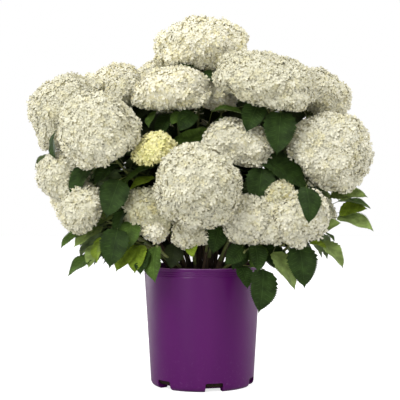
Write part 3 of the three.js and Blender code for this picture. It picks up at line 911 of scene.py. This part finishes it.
def evaluated_mesh(obj):
    """The mesh that an object's modifiers make of it."""
    graph = bpy.context.evaluated_depsgraph_get()
    return bpy.data.meshes.new_from_object(obj.evaluated_get(graph), depsgraph=graph)


def remove_all(collection):
    for obj in list(collection.objects):
        bpy.data.objects.remove(obj)
    bpy.data.collections.remove(collection)


class Store:
    """Gathers the copies of one form into a single mesh."""

    def __init__(self):
        self.points, self.faces, self.slots, self.count = [], [], [], 0

    def add(self, points, faces, slots=None):
        self.points.append(points)
        self.faces += [[i + self.count for i in face] for face in faces]
        self.slots += list(slots) if slots is not None else [0] * len(faces)
        self.count += len(points)

    def object(self, name, materials, **options):
        return mesh_object(name, np.concatenate(self.points), self.faces, materials,
                           self.slots, **options)


# -- leaves --


def leaf_form(veins, columns):
    """Shares along and across a blade, and its faces: rows follow the side veins.

    The upper and lower skins share the margin, so a blade is closed, and each row's end
    carries a tooth. Returns u, v, the quilting height, which side of the blade each point
    is on, faces, and each face's slot.
    """
    rows = 2 * veins
    us, vs, quilt, side = [0.0, TOOTH["tip"]], [0.0, 0.0], [0.0, 0.0], [0, 0]
    base, tip, index = 0, 1, {}

    def place(key, u, v, raised, layer):
        index[key] = len(us)
        for row, value in ((us, u), (vs, v), (quilt, raised), (side, layer)):
            row.append(value)

    for edge in (-1, 1):
        for k in range(1, 2 * rows):
            tooth = TOOTH["out"] if k % 2 else TOOTH["back"]
            u = k / (2 * rows)
            u = u + vein_slant(u, 1) + TOOTH["forward"] * (k % 2)
            place(("margin", edge, k), u, edge * tooth, 0, 0)
    for layer in (1, -1):
        for i in range(1, rows):
            for j in range(1 - columns, columns):
                u, raised = i / rows, (1 if i % 2 else -1) if j else 0
                u += vein_slant(u, abs(j) / columns)
                place((layer, i, j), u, j / columns, raised, layer)
    faces, slots = [], []
    for layer in (1, -1):
        made = []
        for j in range(1 - columns, columns - 1):
            strip = [(index[layer, i, j], index[layer, i, j + 1]) for i in range(1, rows)]
            made.append([base, *strip[0][::-1]])
            for (a, b), (c, d) in zip(strip, strip[1:]):
                made += [[a, b, c], [b, d, c]]
            made.append([*strip[-1], tip])
        for edge in (-1, 1):
            rim = [base] + [index["margin", edge, k] for k in range(1, 2 * rows)] + [tip]
            inner = [index[layer, i, edge * (columns - 1)] for i in range(1, rows)]
            teeth = [[inner[0], rim[0], rim[1]], [inner[0], rim[1], rim[2]]]
            for i, (a, b) in enumerate(zip(inner, inner[1:])):
                k = 2 * i + 2
                teeth += [[a, rim[k], rim[k + 1]], [a, rim[k + 1], b], [b, rim[k + 1], rim[k + 2]]]
            teeth += [[inner[-1], rim[-3], rim[-2]], [inner[-1], rim[-2], rim[-1]]]
            made += [face[::edge] for face in teeth]
        faces += [face[::-layer] for face in made]
        slots += [0 if layer > 0 else 1] * len(made)
    return np.array(us), np.array(vs), np.array(quilt), np.array(side), faces, slots


def ripple(leaf, random):
    """Gives a leaf its own waves along the margin, and its own curl across."""
    leaf.phase = next(random)
    leaf.curl = WAVE["curl"] * (next(random) - WAVE["curl_up"])


def rippled(leaf, u, v, raised):
    """Places on the rippled blade, raised above its middle."""
    wave = WAVE["height"] * np.sin(2 * math.pi * (WAVE["count"] * u + leaf.phase))
    wave = wave * np.abs(v) * v * 4 * u * (1 - u)
    return leaf.at(u, v, raised + leaf.length * (wave + leaf.curl * v**2))


def leaf_points(leaf, form):
    """A blade's points: quilted between the veins, and thin."""
    u, v, quilt, side, _, _ = form
    return rippled(leaf, u, v, BLADE_SKIN * side + LEAF["quilt"] * quilt * leaf.length)


def vein_points(leaf, path, widths, skin):
    """A three-sided rib along a path of (u, v) shares, standing a little proud of the blade."""
    u, v = np.array(path, float).T
    middle = rippled(leaf, u, v, skin)
    top = rippled(leaf, u, v, skin + VEIN["lift"])
    ahead = np.gradient(middle, axis=0)
    sideways = np.cross(ahead, top - middle)
    sideways /= np.linalg.norm(sideways, axis=1)[:, None]
    half = np.array(widths)[:, None] / 2
    return np.stack([top, middle - sideways * half, middle + sideways * half], 1).reshape(-1, 3)


def rib_faces(count):
    """A closed three-sided rib with count rings."""
    faces = [[0, 2, 1]]
    for i in range(count - 1):
        for a, b in ((0, 1), (1, 2), (2, 0)):
            faces.append([3 * i + a, 3 * i + b, 3 * i + 3 + b, 3 * i + 3 + a])
    last = 3 * (count - 1)
    return faces + [[last, last + 1, last + 2]]


def vein_slant(u, across):
    """How far towards the tip a side vein has run, part of the way across the blade."""
    return VEIN["slant"] * min(1, u / VEIN["straight"]) * (1 - u) * across ** VEIN["curve"]


def leaf_veins(leaf, store, pairs):
    """A midrib and its side veins, which lie in the troughs of the quilting."""
    rings, reach = VEIN["midrib_rings"], np.array(VEIN["reach"])
    steps = np.linspace(0.0, VEIN["midrib_end"], rings)
    widths = np.interp(steps, [0, 1], VEIN["midrib"]) * leaf.length / 110
    store.add(vein_points(leaf, [(u, 0) for u in steps], widths, 0.15), rib_faces(rings))
    trough = 0.2 - LEAF["quilt"] * leaf.length
    for i in range(1, pairs + 1):
        u = i / (pairs + 1)
        for side in (-1, 1):
            path = list(zip(u + vein_slant(u, reach), side * reach))
            store.add(vein_points(leaf, path, VEIN["widths"], trough), rib_faces(len(path)))


def tube(points, radii, sides, store, twist=0.0):
    """A closed tube through points, in millimetres, with a radius at each."""
    points = np.asarray(points, float)
    ahead = np.gradient(points, axis=0)
    ahead /= np.linalg.norm(ahead, axis=1)[:, None]
    u = np.cross(ahead[0], UP)
    u = unit(u) if np.linalg.norm(u) > 1e-3 else np.array([1.0, 0, 0])
    rings = []
    for k, (p, d, r) in enumerate(zip(points, ahead, radii)):
        u = unit(u - d * (u @ d))
        v = np.cross(d, u)
        angles = 2 * math.pi * np.arange(sides) / sides + twist * k
        rings.append(p + r * (np.cos(angles)[:, None] * u + np.sin(angles)[:, None] * v))
    faces = []
    for i in range(len(points) - 1):
        for k in range(sides):
            a, b = i * sides + k, i * sides + (k + 1) % sides
            faces.append([a, b, b + sides, a + sides])
    faces.append(list(range(sides))[::-1])
    faces.append([(len(points) - 1) * sides + k for k in range(sides)])
    store.add(np.concatenate(rings), faces)


def petiole(leaf, store):
    """The leaf's stalk, thick where it clasps the stem."""
    ease = np.array([0, 0.12, 0.45, 0.8, 1.06])
    sag = np.array([0, 0.6, 2.2, 1.6, 0])[:, None] * UP
    points = leaf.root + ease[:, None] * (leaf.start - leaf.root) + sag
    scale = leaf.length / 105
    tube(points, np.array([2.5, 1.6, 1.2, 1.15, 1.1]) * scale, 6, store)


# Each tone's blade, and how much lighter its veins are. Shade is painted shade: a darker green for
# leaves that sit in shade within the plant.
TONES = dict(shade=(linear(30, 38, 15), 1.6), deep=(linear(37, 54, 20), 2.2),
             mid=(linear(62, 83, 32), 1.9), fresh=(linear(110, 130, 38), 1.5),
             pale=(linear(118, 136, 74), 1.3))
TONE = dict(within=150, outer=190, low=350, shade=0.7, fresh=0.25, mid=0.28)
FINE, COARSE = 9, 6  # rows between side veins on a large leaf, and on a small one


def leaf_tone(leaf, random):
    """Low outer leaves are fresher and yellower, and the ones within are dark: most of them take the
    shade tone, which is painted shade.
    """
    draw = next(random)
    if leaf.tone:
        return leaf.tone
    x, y, z = leaf.start
    if math.hypot(x, y) < TONE["within"]:
        return "shade" if draw < TONE["shade"] else "deep"
    fresh = TONE["fresh"] if abs(x) > TONE["outer"] and z < TONE["low"] else 0
    return "fresh" if draw < fresh else "mid" if draw < fresh + TONE["mid"] else "deep"


def make_leaves(large, small):
    """The leaves and their veins, a piece for each tone. Returns the stalks, not yet a piece."""
    forms = {veins: leaf_form(veins, columns) for veins, columns in ((FINE, 3), (COARSE, 2))}
    blades = {tone: Store() for tone in TONES}
    ribs = {tone: Store() for tone in TONES}
    stalks, random = Store(), seeded(7)
    for leaf, veins in [(x, FINE) for x in large] + [(x, COARSE) for x in small]:
        ripple(leaf, random)
        tone, form = leaf_tone(leaf, random), forms[veins]
        blades[tone].add(leaf_points(leaf, form), form[4], form[5])
        leaf_veins(leaf, ribs[tone], veins - 1)
        petiole(leaf, stalks)
    underside = linear(104, 122, 78)
    for tone, (colour, lift) in TONES.items():
        skin = leaf_finish("leaf_" + tone, colour, 0.6, 0.1)
        under = leaf_finish("leaf_under_" + tone, underside, 0.7, 0.2)
        vein = leaf_finish("leaf_vein_" + tone, lighter(colour, lift), 0.6, 0.15)
        finish_piece(blades[tone].object("leaves_" + tone, [skin, under], sharp=60), "leaf")
        finish_piece(ribs[tone].object("leaf_veins_" + tone, [vein], smooth=False), "leaf")
    return stalks


# -- stems --


def stem_tube(stem, start, end, store, sides, step, swell):
    """A stretch of a stem, with a swelling at each pair of leaves."""
    distances = np.linspace(start, end, max(3, int((end - start) / step)))
    nodes = []
    d, pair = stem.top_pair(), 0
    while d > 0:
        nodes.append(d)
        d -= PAIR["spacing"] + PAIR["growth"] * pair
        pair += 1
    points, radii = [], []
    for d in distances:
        share, place, _, _ = stem.along(d)
        near = min(abs(d - n) for n in nodes)
        radius = CANE["foot"] + (CANE["tip"] - CANE["foot"]) * share
        radii.append(radius * (JOINT["slim"] + swell * math.exp(-((near / JOINT["length"]) ** 2))))
        points.append(place)
    tube(points, radii, sides, store, 0.02)


def rays(stem, store):
    """The stalks that spread from a cane's tip to carry its flower head."""
    u, v = stem.head_frame()
    _, tip, _, _ = stem.along(stem.length - RAY["from_tip"])
    under = stem.deep * (1 - HEAD["dome"])
    for k in range(RAY["count"]):
        angle = 2 * math.pi * k / RAY["count"] + RAY["turn"]
        out = math.cos(angle) * u + math.sin(angle) * v
        end = (stem.centre + out * stem.across * RAY["spread"]
               - stem.facing * under * RAY["sunk"])
        middle = tip + (end - tip) * 0.5 + stem.facing * under * RAY["bulge"]
        tube([tip, middle, end], RAY["radii"], 5, store)


def make_stems(stems, green):
    """The canes' bark below, and the green stems above, which join the leaves' stalks."""
    bark, nodes = Store(), []
    for stem in stems:
        split = stem.length - SPRAY_LENGTH if stem.tall else stem.length * 0.3
        stem_tube(stem, 0, split, bark, 9, 5, 0.3)
        stem_tube(stem, split - 3, stem.length, green, 8, 8, 0.22)
        if stem.flowers:
            rays(stem, green)
        if stem.tall:
            nodes.append("cane_" + stem.name)
    canes = bark.object("canes", [bark_finish("bark", linear(44, 33, 25), linear(84, 66, 46))])
    finish_piece(canes, "cane", *nodes)
    skin = bark_finish("green_stem", linear(72, 84, 38), linear(120, 124, 66), 0.6)
    finish_piece(green.object("green_stems", [skin]), "leaf")


# -- flower heads --


def spread_directions(count, turn):
    """Directions spread evenly over a ball, turned about its axis."""
    k = np.arange(count)
    z = 1 - 2 * (k + 0.5) / count
    angle = k * math.pi * (3 - math.sqrt(5)) + turn
    flat = np.sqrt(1 - z**2)
    return np.stack([flat * np.cos(angle), flat * np.sin(angle), z], 1)


def lobed(stem, directions):
    """A head's skin as a share of its dome: it swells over each cyme, with clefts between them."""
    random = seeded(stem.seed + 3)
    count = max(LOBE["fewest"], round(4 * (stem.across / LOBE["width"]) ** 2))
    cymes = spread_directions(count, stem.seed)
    strays = np.array([next(random) - 0.5 for _ in range(3 * count)]).reshape(-1, 3)
    cymes += strays * LOBE["stray"] / math.sqrt(count)
    cymes /= np.linalg.norm(cymes, axis=1)[:, None]
    sizes = np.array([(next(random) - 0.5) * LOBE["uneven"] for _ in range(count)])
    sizes *= np.where(cymes[:, 2] < LOBE["low"], LOBE["low_uneven"], 1)
    angle = np.arccos(np.clip(directions @ cymes.T, -1, 1)) * math.sqrt(count) / LOBE["gap"]
    swell = 1 + sizes - LOBE["cleft"] * angle**2
    return swell.max(1)


def head_core(stem, store, form):
    """The close mass of buds and stalks under a head's florets."""
    directions, faces = form
    skin = stem.head_point(directions, lobed(stem, directions))
    inward = skin - stem.centre
    inward /= np.linalg.norm(inward, axis=1)[:, None]
    store.add(skin - inward * LOBE["under"], faces)


def ball_form(detail):
    """Directions spread over a ball, and the faces between them."""
    ball = bmesh.new()
    bmesh.ops.create_icosphere(ball, subdivisions=detail, radius=1)
    points = np.array([v.co for v in ball.verts])
    faces = [[v.index for v in f.verts] for f in ball.faces]
    ball.free()
    return points, faces


def floret_mesh(name, petals, cup, seed):
    """One floret 2 across: rounded petals that overlap at the middle, as a closed shell."""
    random = seeded(seed)
    rim = []
    for k in range(petals):
        axis = 2 * math.pi * k / petals
        size = PETAL["shortest"] + PETAL["longer"] * next(random)
        lift = cup * (0.6 + 0.8 * next(random))
        blunt = math.pi / petals * PETAL["half_tip"]
        rim.append((axis - blunt, size, lift * (0.8 + 0.4 * next(random))))
        rim.append((axis + blunt, size, lift * (0.8 + 0.4 * next(random))))
        rim.append((axis + math.pi / petals, PETAL["cleft"], PETAL["cleft_lift"] * cup))
    points = [(0, 0, 0.0), (0, 0, -PETAL["thick"])]
    points += [(r * math.cos(a), r * math.sin(a), z) for a, r, z in rim]
    count = len(rim)
    faces = []
    for i in range(count):
        a, b = 2 + i, 2 + (i + 1) % count
        faces += [[0, a, b], [1, b, a]]
    return mesh_object(name, np.array(points) / MM, faces, [], smooth=False)


def floret_tree():
    """Scatters florets over head cores, tilted and raised by chance, and keeps a share of them."""
    t = Scatter("floret_scatter", ("Spacing", "Float", FLORET["spacing"] * MM),
                ("Radius", "Float", FLORET["radius"] * MM),
                ("Rise", "Float", FLORET["rise"] * MM), ("Tilt", "Float", FLORET["tilt"]),
                ("Share from", "Float", 0.0), ("Share to", "Float", 1.0), ("Seed", "Int", 1),
                ("Florets", "Collection", None), ("Finish", "Material", None))
    given, points = t.given, t.points(60000.0)
    draw = t.random(0.0, 1.0, given["Seed"])
    kept = t.node("FunctionNodeBooleanMath", dict(operation="AND"),
                  {0: t.compared("GREATER_EQUAL", draw, given["Share from"]),
                   1: t.compared("LESS_THAN", draw, given["Share to"])}).outputs[0]
    rise = Number(t, given["Rise"]) * t.random(0.1, 1.0, 3)
    placed = t.node("GeometryNodeSetPosition", None,
                    {"Geometry": points["Points"],
                     "Offset": t.scaled(points["Normal"], rise)}).outputs[0]
    tilt = t.scaled(t.random((-1, -1, -math.tau), (1, 1, math.tau), 5), given["Tilt"])
    turned = t.node("FunctionNodeRotateRotation", dict(rotation_space="LOCAL"),
                    {0: points["Rotation"], 1: tilt}).outputs[0]
    forms = t.node("GeometryNodeCollectionInfo", None,
                   {"Collection": given["Florets"], "Separate Children": True}).outputs[0]
    size = Number(t, given["Radius"]) * t.random(FLORET["smallest"], FLORET["largest"], 9)
    return t.end(Points=placed, Selection=kept, Instance=forms, Pick_Instance=True,
                 Rotation=turned, Scale=size)


def grown_by(tree, name, base, **values):
    """The mesh that a tree makes on a base object, as a piece of its own."""
    modifier = base.modifiers.new("grow", "NODES")
    modifier.node_group = tree
    for item in tree.interface.items_tree:
        if item.item_type == "SOCKET" and item.in_out == "INPUT" and item.name in values:
            modifier[item.identifier] = values[item.name]
    mesh = evaluated_mesh(base)
    mesh.name = name
    base.modifiers.remove(modifier)
    obj = bpy.data.objects.new(name, mesh)
    bpy.context.scene.collection.objects.link(obj)
    return obj


TINTS = {  # pale, shaded and warm petals
    "white": (linear(226, 222, 197), linear(217, 213, 186), linear(221, 215, 181)),
    "ivory": (linear(232, 228, 205), linear(223, 219, 195), linear(227, 221, 187)),
    "cream": (linear(244, 240, 218), linear(236, 231, 203), linear(239, 232, 193)),
    "straw": (linear(218, 214, 182), linear(208, 204, 168), linear(216, 208, 160)),
    "lime": (linear(238, 232, 172), linear(228, 222, 152), linear(226, 223, 150)),
}
TONE_SHARES = (0.0, 0.58, 0.84, 1.01)
HEADS_A_PIECE = 4


def floret_forms():
    """A few forms of floret, in a collection that the scattering picks from."""
    florets = bpy.data.collections.new("floret_forms")
    for k, (petals, cup) in enumerate(((4, 0.3), (4, 0.6), (4, 0.12), (5, 0.4))):
        obj = floret_mesh(f"floret_form_{k}", petals, cup, 31 + k)
        bpy.context.scene.collection.objects.unlink(obj)
        florets.objects.link(obj)
    return florets


def make_heads(stems):
    """The heads of one tint, a few to a piece: their cores, and the florets in three tones."""
    form, florets, tree = ball_form(4), floret_forms(), floret_tree()
    for tint, colours in TINTS.items():
        # Straw is a tint of the looks alone, so its heads are passed the cream heads' slot name.
        slot = "bloom_cream" if tint == "straw" else "bloom_" + tint
        petals = [petal_finish(f"petal_{tint}_{tone}", colour, lighter(colour, 0.93))
                  for tone, colour in zip(("pale", "shaded", "warm"), colours)]
        buds = petal_finish("buds_" + tint, lighter(colours[2], 0.92), lighter(colours[2], 0.76))
        kin = [stem for stem in stems + SPARES if stem.tint == tint]
        for first in range(0, len(kin), HEADS_A_PIECE):
            cores, part = Store(), f"{tint}_{first // HEADS_A_PIECE}"
            group = kin[first:first + HEADS_A_PIECE]
            for stem in group:
                head_core(stem, cores, form)
            base = cores.object("bloom_cores_" + part, [buds])
            for petal, low, high in zip(petals, TONE_SHARES, TONE_SHARES[1:]):
                name = petal.name.replace("petal_" + tint, "florets_" + part)
                piece = grown_by(tree, name, base, **{"Share from": low, "Share to": high,
                                                      "Seed": 11 + first, "Florets": florets,
                                                      "Finish": petal})
                finish_piece(piece, slot)
            finish_piece(base, slot, *("bloom_" + stem.name for stem in group if stem.name))
    remove_all(florets)


# -- pot and growing medium --


def lathe(profile, sides, name, material, sharp=None):
    """A closed form turned about the Z axis from (radius, height) pairs, in millimetres."""
    rows = [[0] if r == 0 else list(range(sides)) for r, _ in profile]
    points, index = [], []
    for (r, z), row in zip(profile, rows):
        start = len(points)
        index.append([start + k % len(row) for k in range(sides)])
        for k in row:
            angle = 2 * math.pi * k / sides
            points.append((r * math.cos(angle), r * math.sin(angle), z))
    faces = []
    for low, high in zip(index, index[1:]):
        for k in range(sides):
            face = [low[k], low[(k + 1) % sides], high[(k + 1) % sides], high[k]]
            face = list(dict.fromkeys(face))
            if len(face) > 2:
                faces.append(face)
    return mesh_object(name, points, faces, [material], sharp=sharp)


def pot_profile():
    """From the middle of the underside, out, up the wall, over the rolled rim and down inside."""
    arc = np.radians(np.linspace(0, 90, 9))
    corner = [(POT["foot_radius"] - POT["corner"] * (1 - math.sin(a)),
               POT["corner"] * (1 - math.cos(a))) for a in arc]
    wall = [(pot_radius(z), z) for z in (40, 90, 140, 190, 230, 250)]
    for middle in GROOVE["heights"]:
        low, high = middle - GROOVE["half"], middle + GROOVE["half"]
        wall += [(pot_radius(low), low), (pot_radius(middle) - GROOVE["deep"], middle),
                 (pot_radius(high), high)]
    top, bead = POT["height"], POT["rim_wall"] / 2
    rim_middle = POT["rim_radius"] - bead
    rim = [(rim_middle + bead * math.cos(a), top - bead + bead * math.sin(a))
           for a in np.radians(np.linspace(-30, 210, 11))]
    inside = POT["recess"] + POT["floor"]
    inner = [(pot_radius(z) - POT["wall"], z)
             for z in (top - POT["rim_depth"], 200, 120, 40, inside + 6)]
    return ([(0, 0), (POT["pad"] - 1, 0), (POT["pad"], 0.4), (POT["pad"] + 4, POT["recess"]),
             (POT["ring_inner"] - 3, POT["recess"]), (POT["ring_inner"], 0)]
            + corner + wall + rim + inner
            + [(pot_radius(inside) - POT["wall"] - 4, inside), (0, inside)])


def notch_cutter(inner, height, azimuth, rounding):
    """A block with rounded edges that cuts the foot from a radius outwards."""
    below = 8
    length = POT["foot_radius"] + 14 - inner
    block = bmesh.new()
    bmesh.ops.create_cube(block, size=1)
    bmesh.ops.scale(block, vec=(length, NOTCH["width"], height + below), verts=block.verts)
    bmesh.ops.translate(block, vec=(inner + length / 2, 0, (height - below) / 2), verts=block.verts)
    upper = [e for e in block.edges if all(v.co.z > 0 for v in e.verts)]
    bmesh.ops.bevel(block, geom=upper, offset=rounding, segments=4, affect="EDGES", profile=0.5)
    turn = math.radians(azimuth)
    for v in block.verts:
        x, y = v.co.x, v.co.y
        v.co = Vector((x * math.cos(turn) - y * math.sin(turn),
                       x * math.sin(turn) + y * math.cos(turn), v.co.z)) * MM
    mesh = bpy.data.meshes.new("notch_cutter")
    block.to_mesh(mesh)
    block.free()
    return bpy.data.objects.new("notch_cutter", mesh)


def make_pot():
    """The pot's shell, with notches at its foot and shallow channels inside the ring there."""
    pot = lathe(pot_profile(), 144, "pot_shell", pot_finish())
    cutters = bpy.data.collections.new("notch_cutters")
    bpy.context.scene.collection.children.link(cutters)
    for i in range(NOTCH["count"]):
        azimuth = NOTCH["first"] + 360 / NOTCH["count"] * i
        cutters.objects.link(notch_cutter(NOTCH["inner"], NOTCH["height"], azimuth, 4))
        cutters.objects.link(notch_cutter(POT["ring_inner"] - 8, POT["recess"], azimuth, 0.5))
    cut = pot.modifiers.new("notches", "BOOLEAN")
    cut.operation, cut.operand_type, cut.solver = "DIFFERENCE", "COLLECTION", "EXACT"
    cut.collection = cutters
    notched = evaluated_mesh(pot)
    pot.modifiers.clear()
    pot.data = notched
    remove_all(cutters)
    pot.data.set_sharp_from_angle(angle=math.radians(38))
    finish_piece(pot, "pot", "pot")


def chip_tree():
    """Scatters bark chips over the top of the growing medium."""
    t = Scatter("bark_chips", ("Spacing", "Float", CHIP["spacing"] * MM),
                ("Length", "Float", CHIP["length"] * MM), ("Seed", "Int", CHIP["seed"]),
                ("Finish", "Material", None))
    normal = t.node("GeometryNodeInputNormal").outputs[0]
    upward = t.node("ShaderNodeSeparateXYZ", None, {0: normal}).outputs[2]
    points = t.points(40000.0, Selection=t.compared("GREATER_THAN", upward, 0.5))
    chip = t.node("GeometryNodeMeshIcoSphere", None, {"Radius": 0.5, "Subdivisions": 1}).outputs[0]
    spin = t.random((-0.5, -0.5, -math.pi), (0.5, 0.5, math.pi), 4)
    shape = t.random((0.5, 0.25, 0.12), (1.5, 0.7, 0.34), 6)
    return t.end(Points=points["Points"], Instance=chip, Rotation=spin,
                 Scale=t.scaled(shape, t.given["Length"]))


def make_soil():
    bottom = POT["recess"] + POT["floor"] + GAP

    def inner(z):
        return pot_radius(z) - POT["wall"] - GAP

    edge = SOIL["top"] - SOIL["edge_drop"]
    profile = [(0, bottom), (inner(bottom) - 4.5, bottom), (inner(bottom + 6.5) - 0.4, bottom + 6.5),
               (inner(edge), edge), (SOIL["flat_radius"], SOIL["top"])]
    profile += [(r, SOIL["top"]) for r in (80, 60, 40, 20)] + [(0, SOIL["top"])]
    finish = soil_finish("growing_medium", linear(22, 16, 12), linear(52, 38, 28))
    soil = lathe(profile, 72, "soil_fill", finish, sharp=50)
    chips = grown_by(chip_tree(), "bark_chips", soil,
                     Finish=soil_finish("bark_chip", linear(34, 24, 18), linear(84, 62, 44)))
    finish_piece(soil, "soil", "soil")
    finish_piece(chips, "soil")


# ---- Stage -----------------------------------------------------------------------------------

CAMERA_AT = (-5.3, -2300, 420)  # about level with the middle of the plant and its pot
SENSOR = 36
FOCAL_SHARE = 1003 / 400  # the focal length as a share of the sensor's width
FLOOR_REACH = 9000
LAMPS_AIM = (0, 0, 450)
# Each lamp's name, place, width and power.
LAMPS = [("key", (-1200, -2000, 2500), 1700, 62), ("side", (2000, -900, 1900), 1300, 12),
         ("strip", (-1250, -2200, 480), 400, 11), ("low", (500, -2500, 200), 1500, 9),
         ("left", (-2000, 1500, 600), 1200, 24), ("right", (2300, 900, 600), 1200, 24)]


def make_stage():
    """The camera, the floor, the lamps and the studio around them."""
    scene = bpy.context.scene
    data = bpy.data.cameras.new("camera")
    data.sensor_width = SENSOR
    data.lens = SENSOR * FOCAL_SHARE
    camera = bpy.data.objects.new("camera", data)
    camera.location = Vector(CAMERA_AT) * MM
    camera.rotation_euler = (math.pi / 2, 0, 0)
    scene.collection.objects.link(camera)
    scene.camera = camera

    corners = [(FLOOR_REACH * x, FLOOR_REACH * y, 0) for x, y in ((-1, -1), (1, -1), (1, 1), (-1, 1))]
    floor = mesh_object("floor", corners, [[0, 1, 2, 3]], [floor_finish()])
    scene.world = studio()
    scene.view_settings.view_transform = "Standard"
    for name, at, size, power in LAMPS:
        lamp = bpy.data.lights.new(name, "AREA")
        lamp.energy, lamp.size = power, size * MM
        obj = bpy.data.objects.new(name, lamp)
        obj.location = Vector(at) * MM
        aim = Vector(LAMPS_AIM) - Vector(at)
        obj.rotation_euler = aim.to_track_quat("-Z", "Y").to_euler()
        scene.collection.objects.link(obj)


def floor_finish():
    """White paint, lit a little more where it is seen than where it lights the plant."""
    f = Finish("floor_paint", 0.9, Emission_Color=(1, 1, 1, 1))
    f.shader.inputs["Base Color"].default_value = (0.62, 0.62, 0.62, 1)
    seen = Number(f, f.node("ShaderNodeLightPath").outputs["Is Camera Ray"])
    f.put(seen * 0.74, f.shader.inputs["Emission Strength"])
    return f.material


def studio():
    """A white studio: brighter from above, and plain white behind the plant."""
    world = bpy.data.worlds.new("studio")
    world.use_nodes = True
    t = Tree(world.node_tree)
    seen = Number(t, t.node("ShaderNodeLightPath").outputs["Is Camera Ray"])
    around = t.node("ShaderNodeTexCoord").outputs["Generated"]
    height = Number(t, t.node("ShaderNodeSeparateXYZ", None, {0: around}).outputs[2])
    light = height * 0.68 + 0.28
    background = world.node_tree.nodes["Background"]
    background.inputs[0].default_value = (1, 1, 1, 1)
    t.put(seen + (1 - seen) * light, background.inputs[1])
    return world


# ---- Making it all ---------------------------------------------------------------------------

make_stage()
stems, large, small = grow_plant()
make_pot()
make_soil()
stalks = make_leaves(large, small)
make_stems(stems, stalks)
make_heads(stems)

leafy = [n for n in frame["nodes"] if n.startswith("leafy_")]
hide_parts(*leafy)
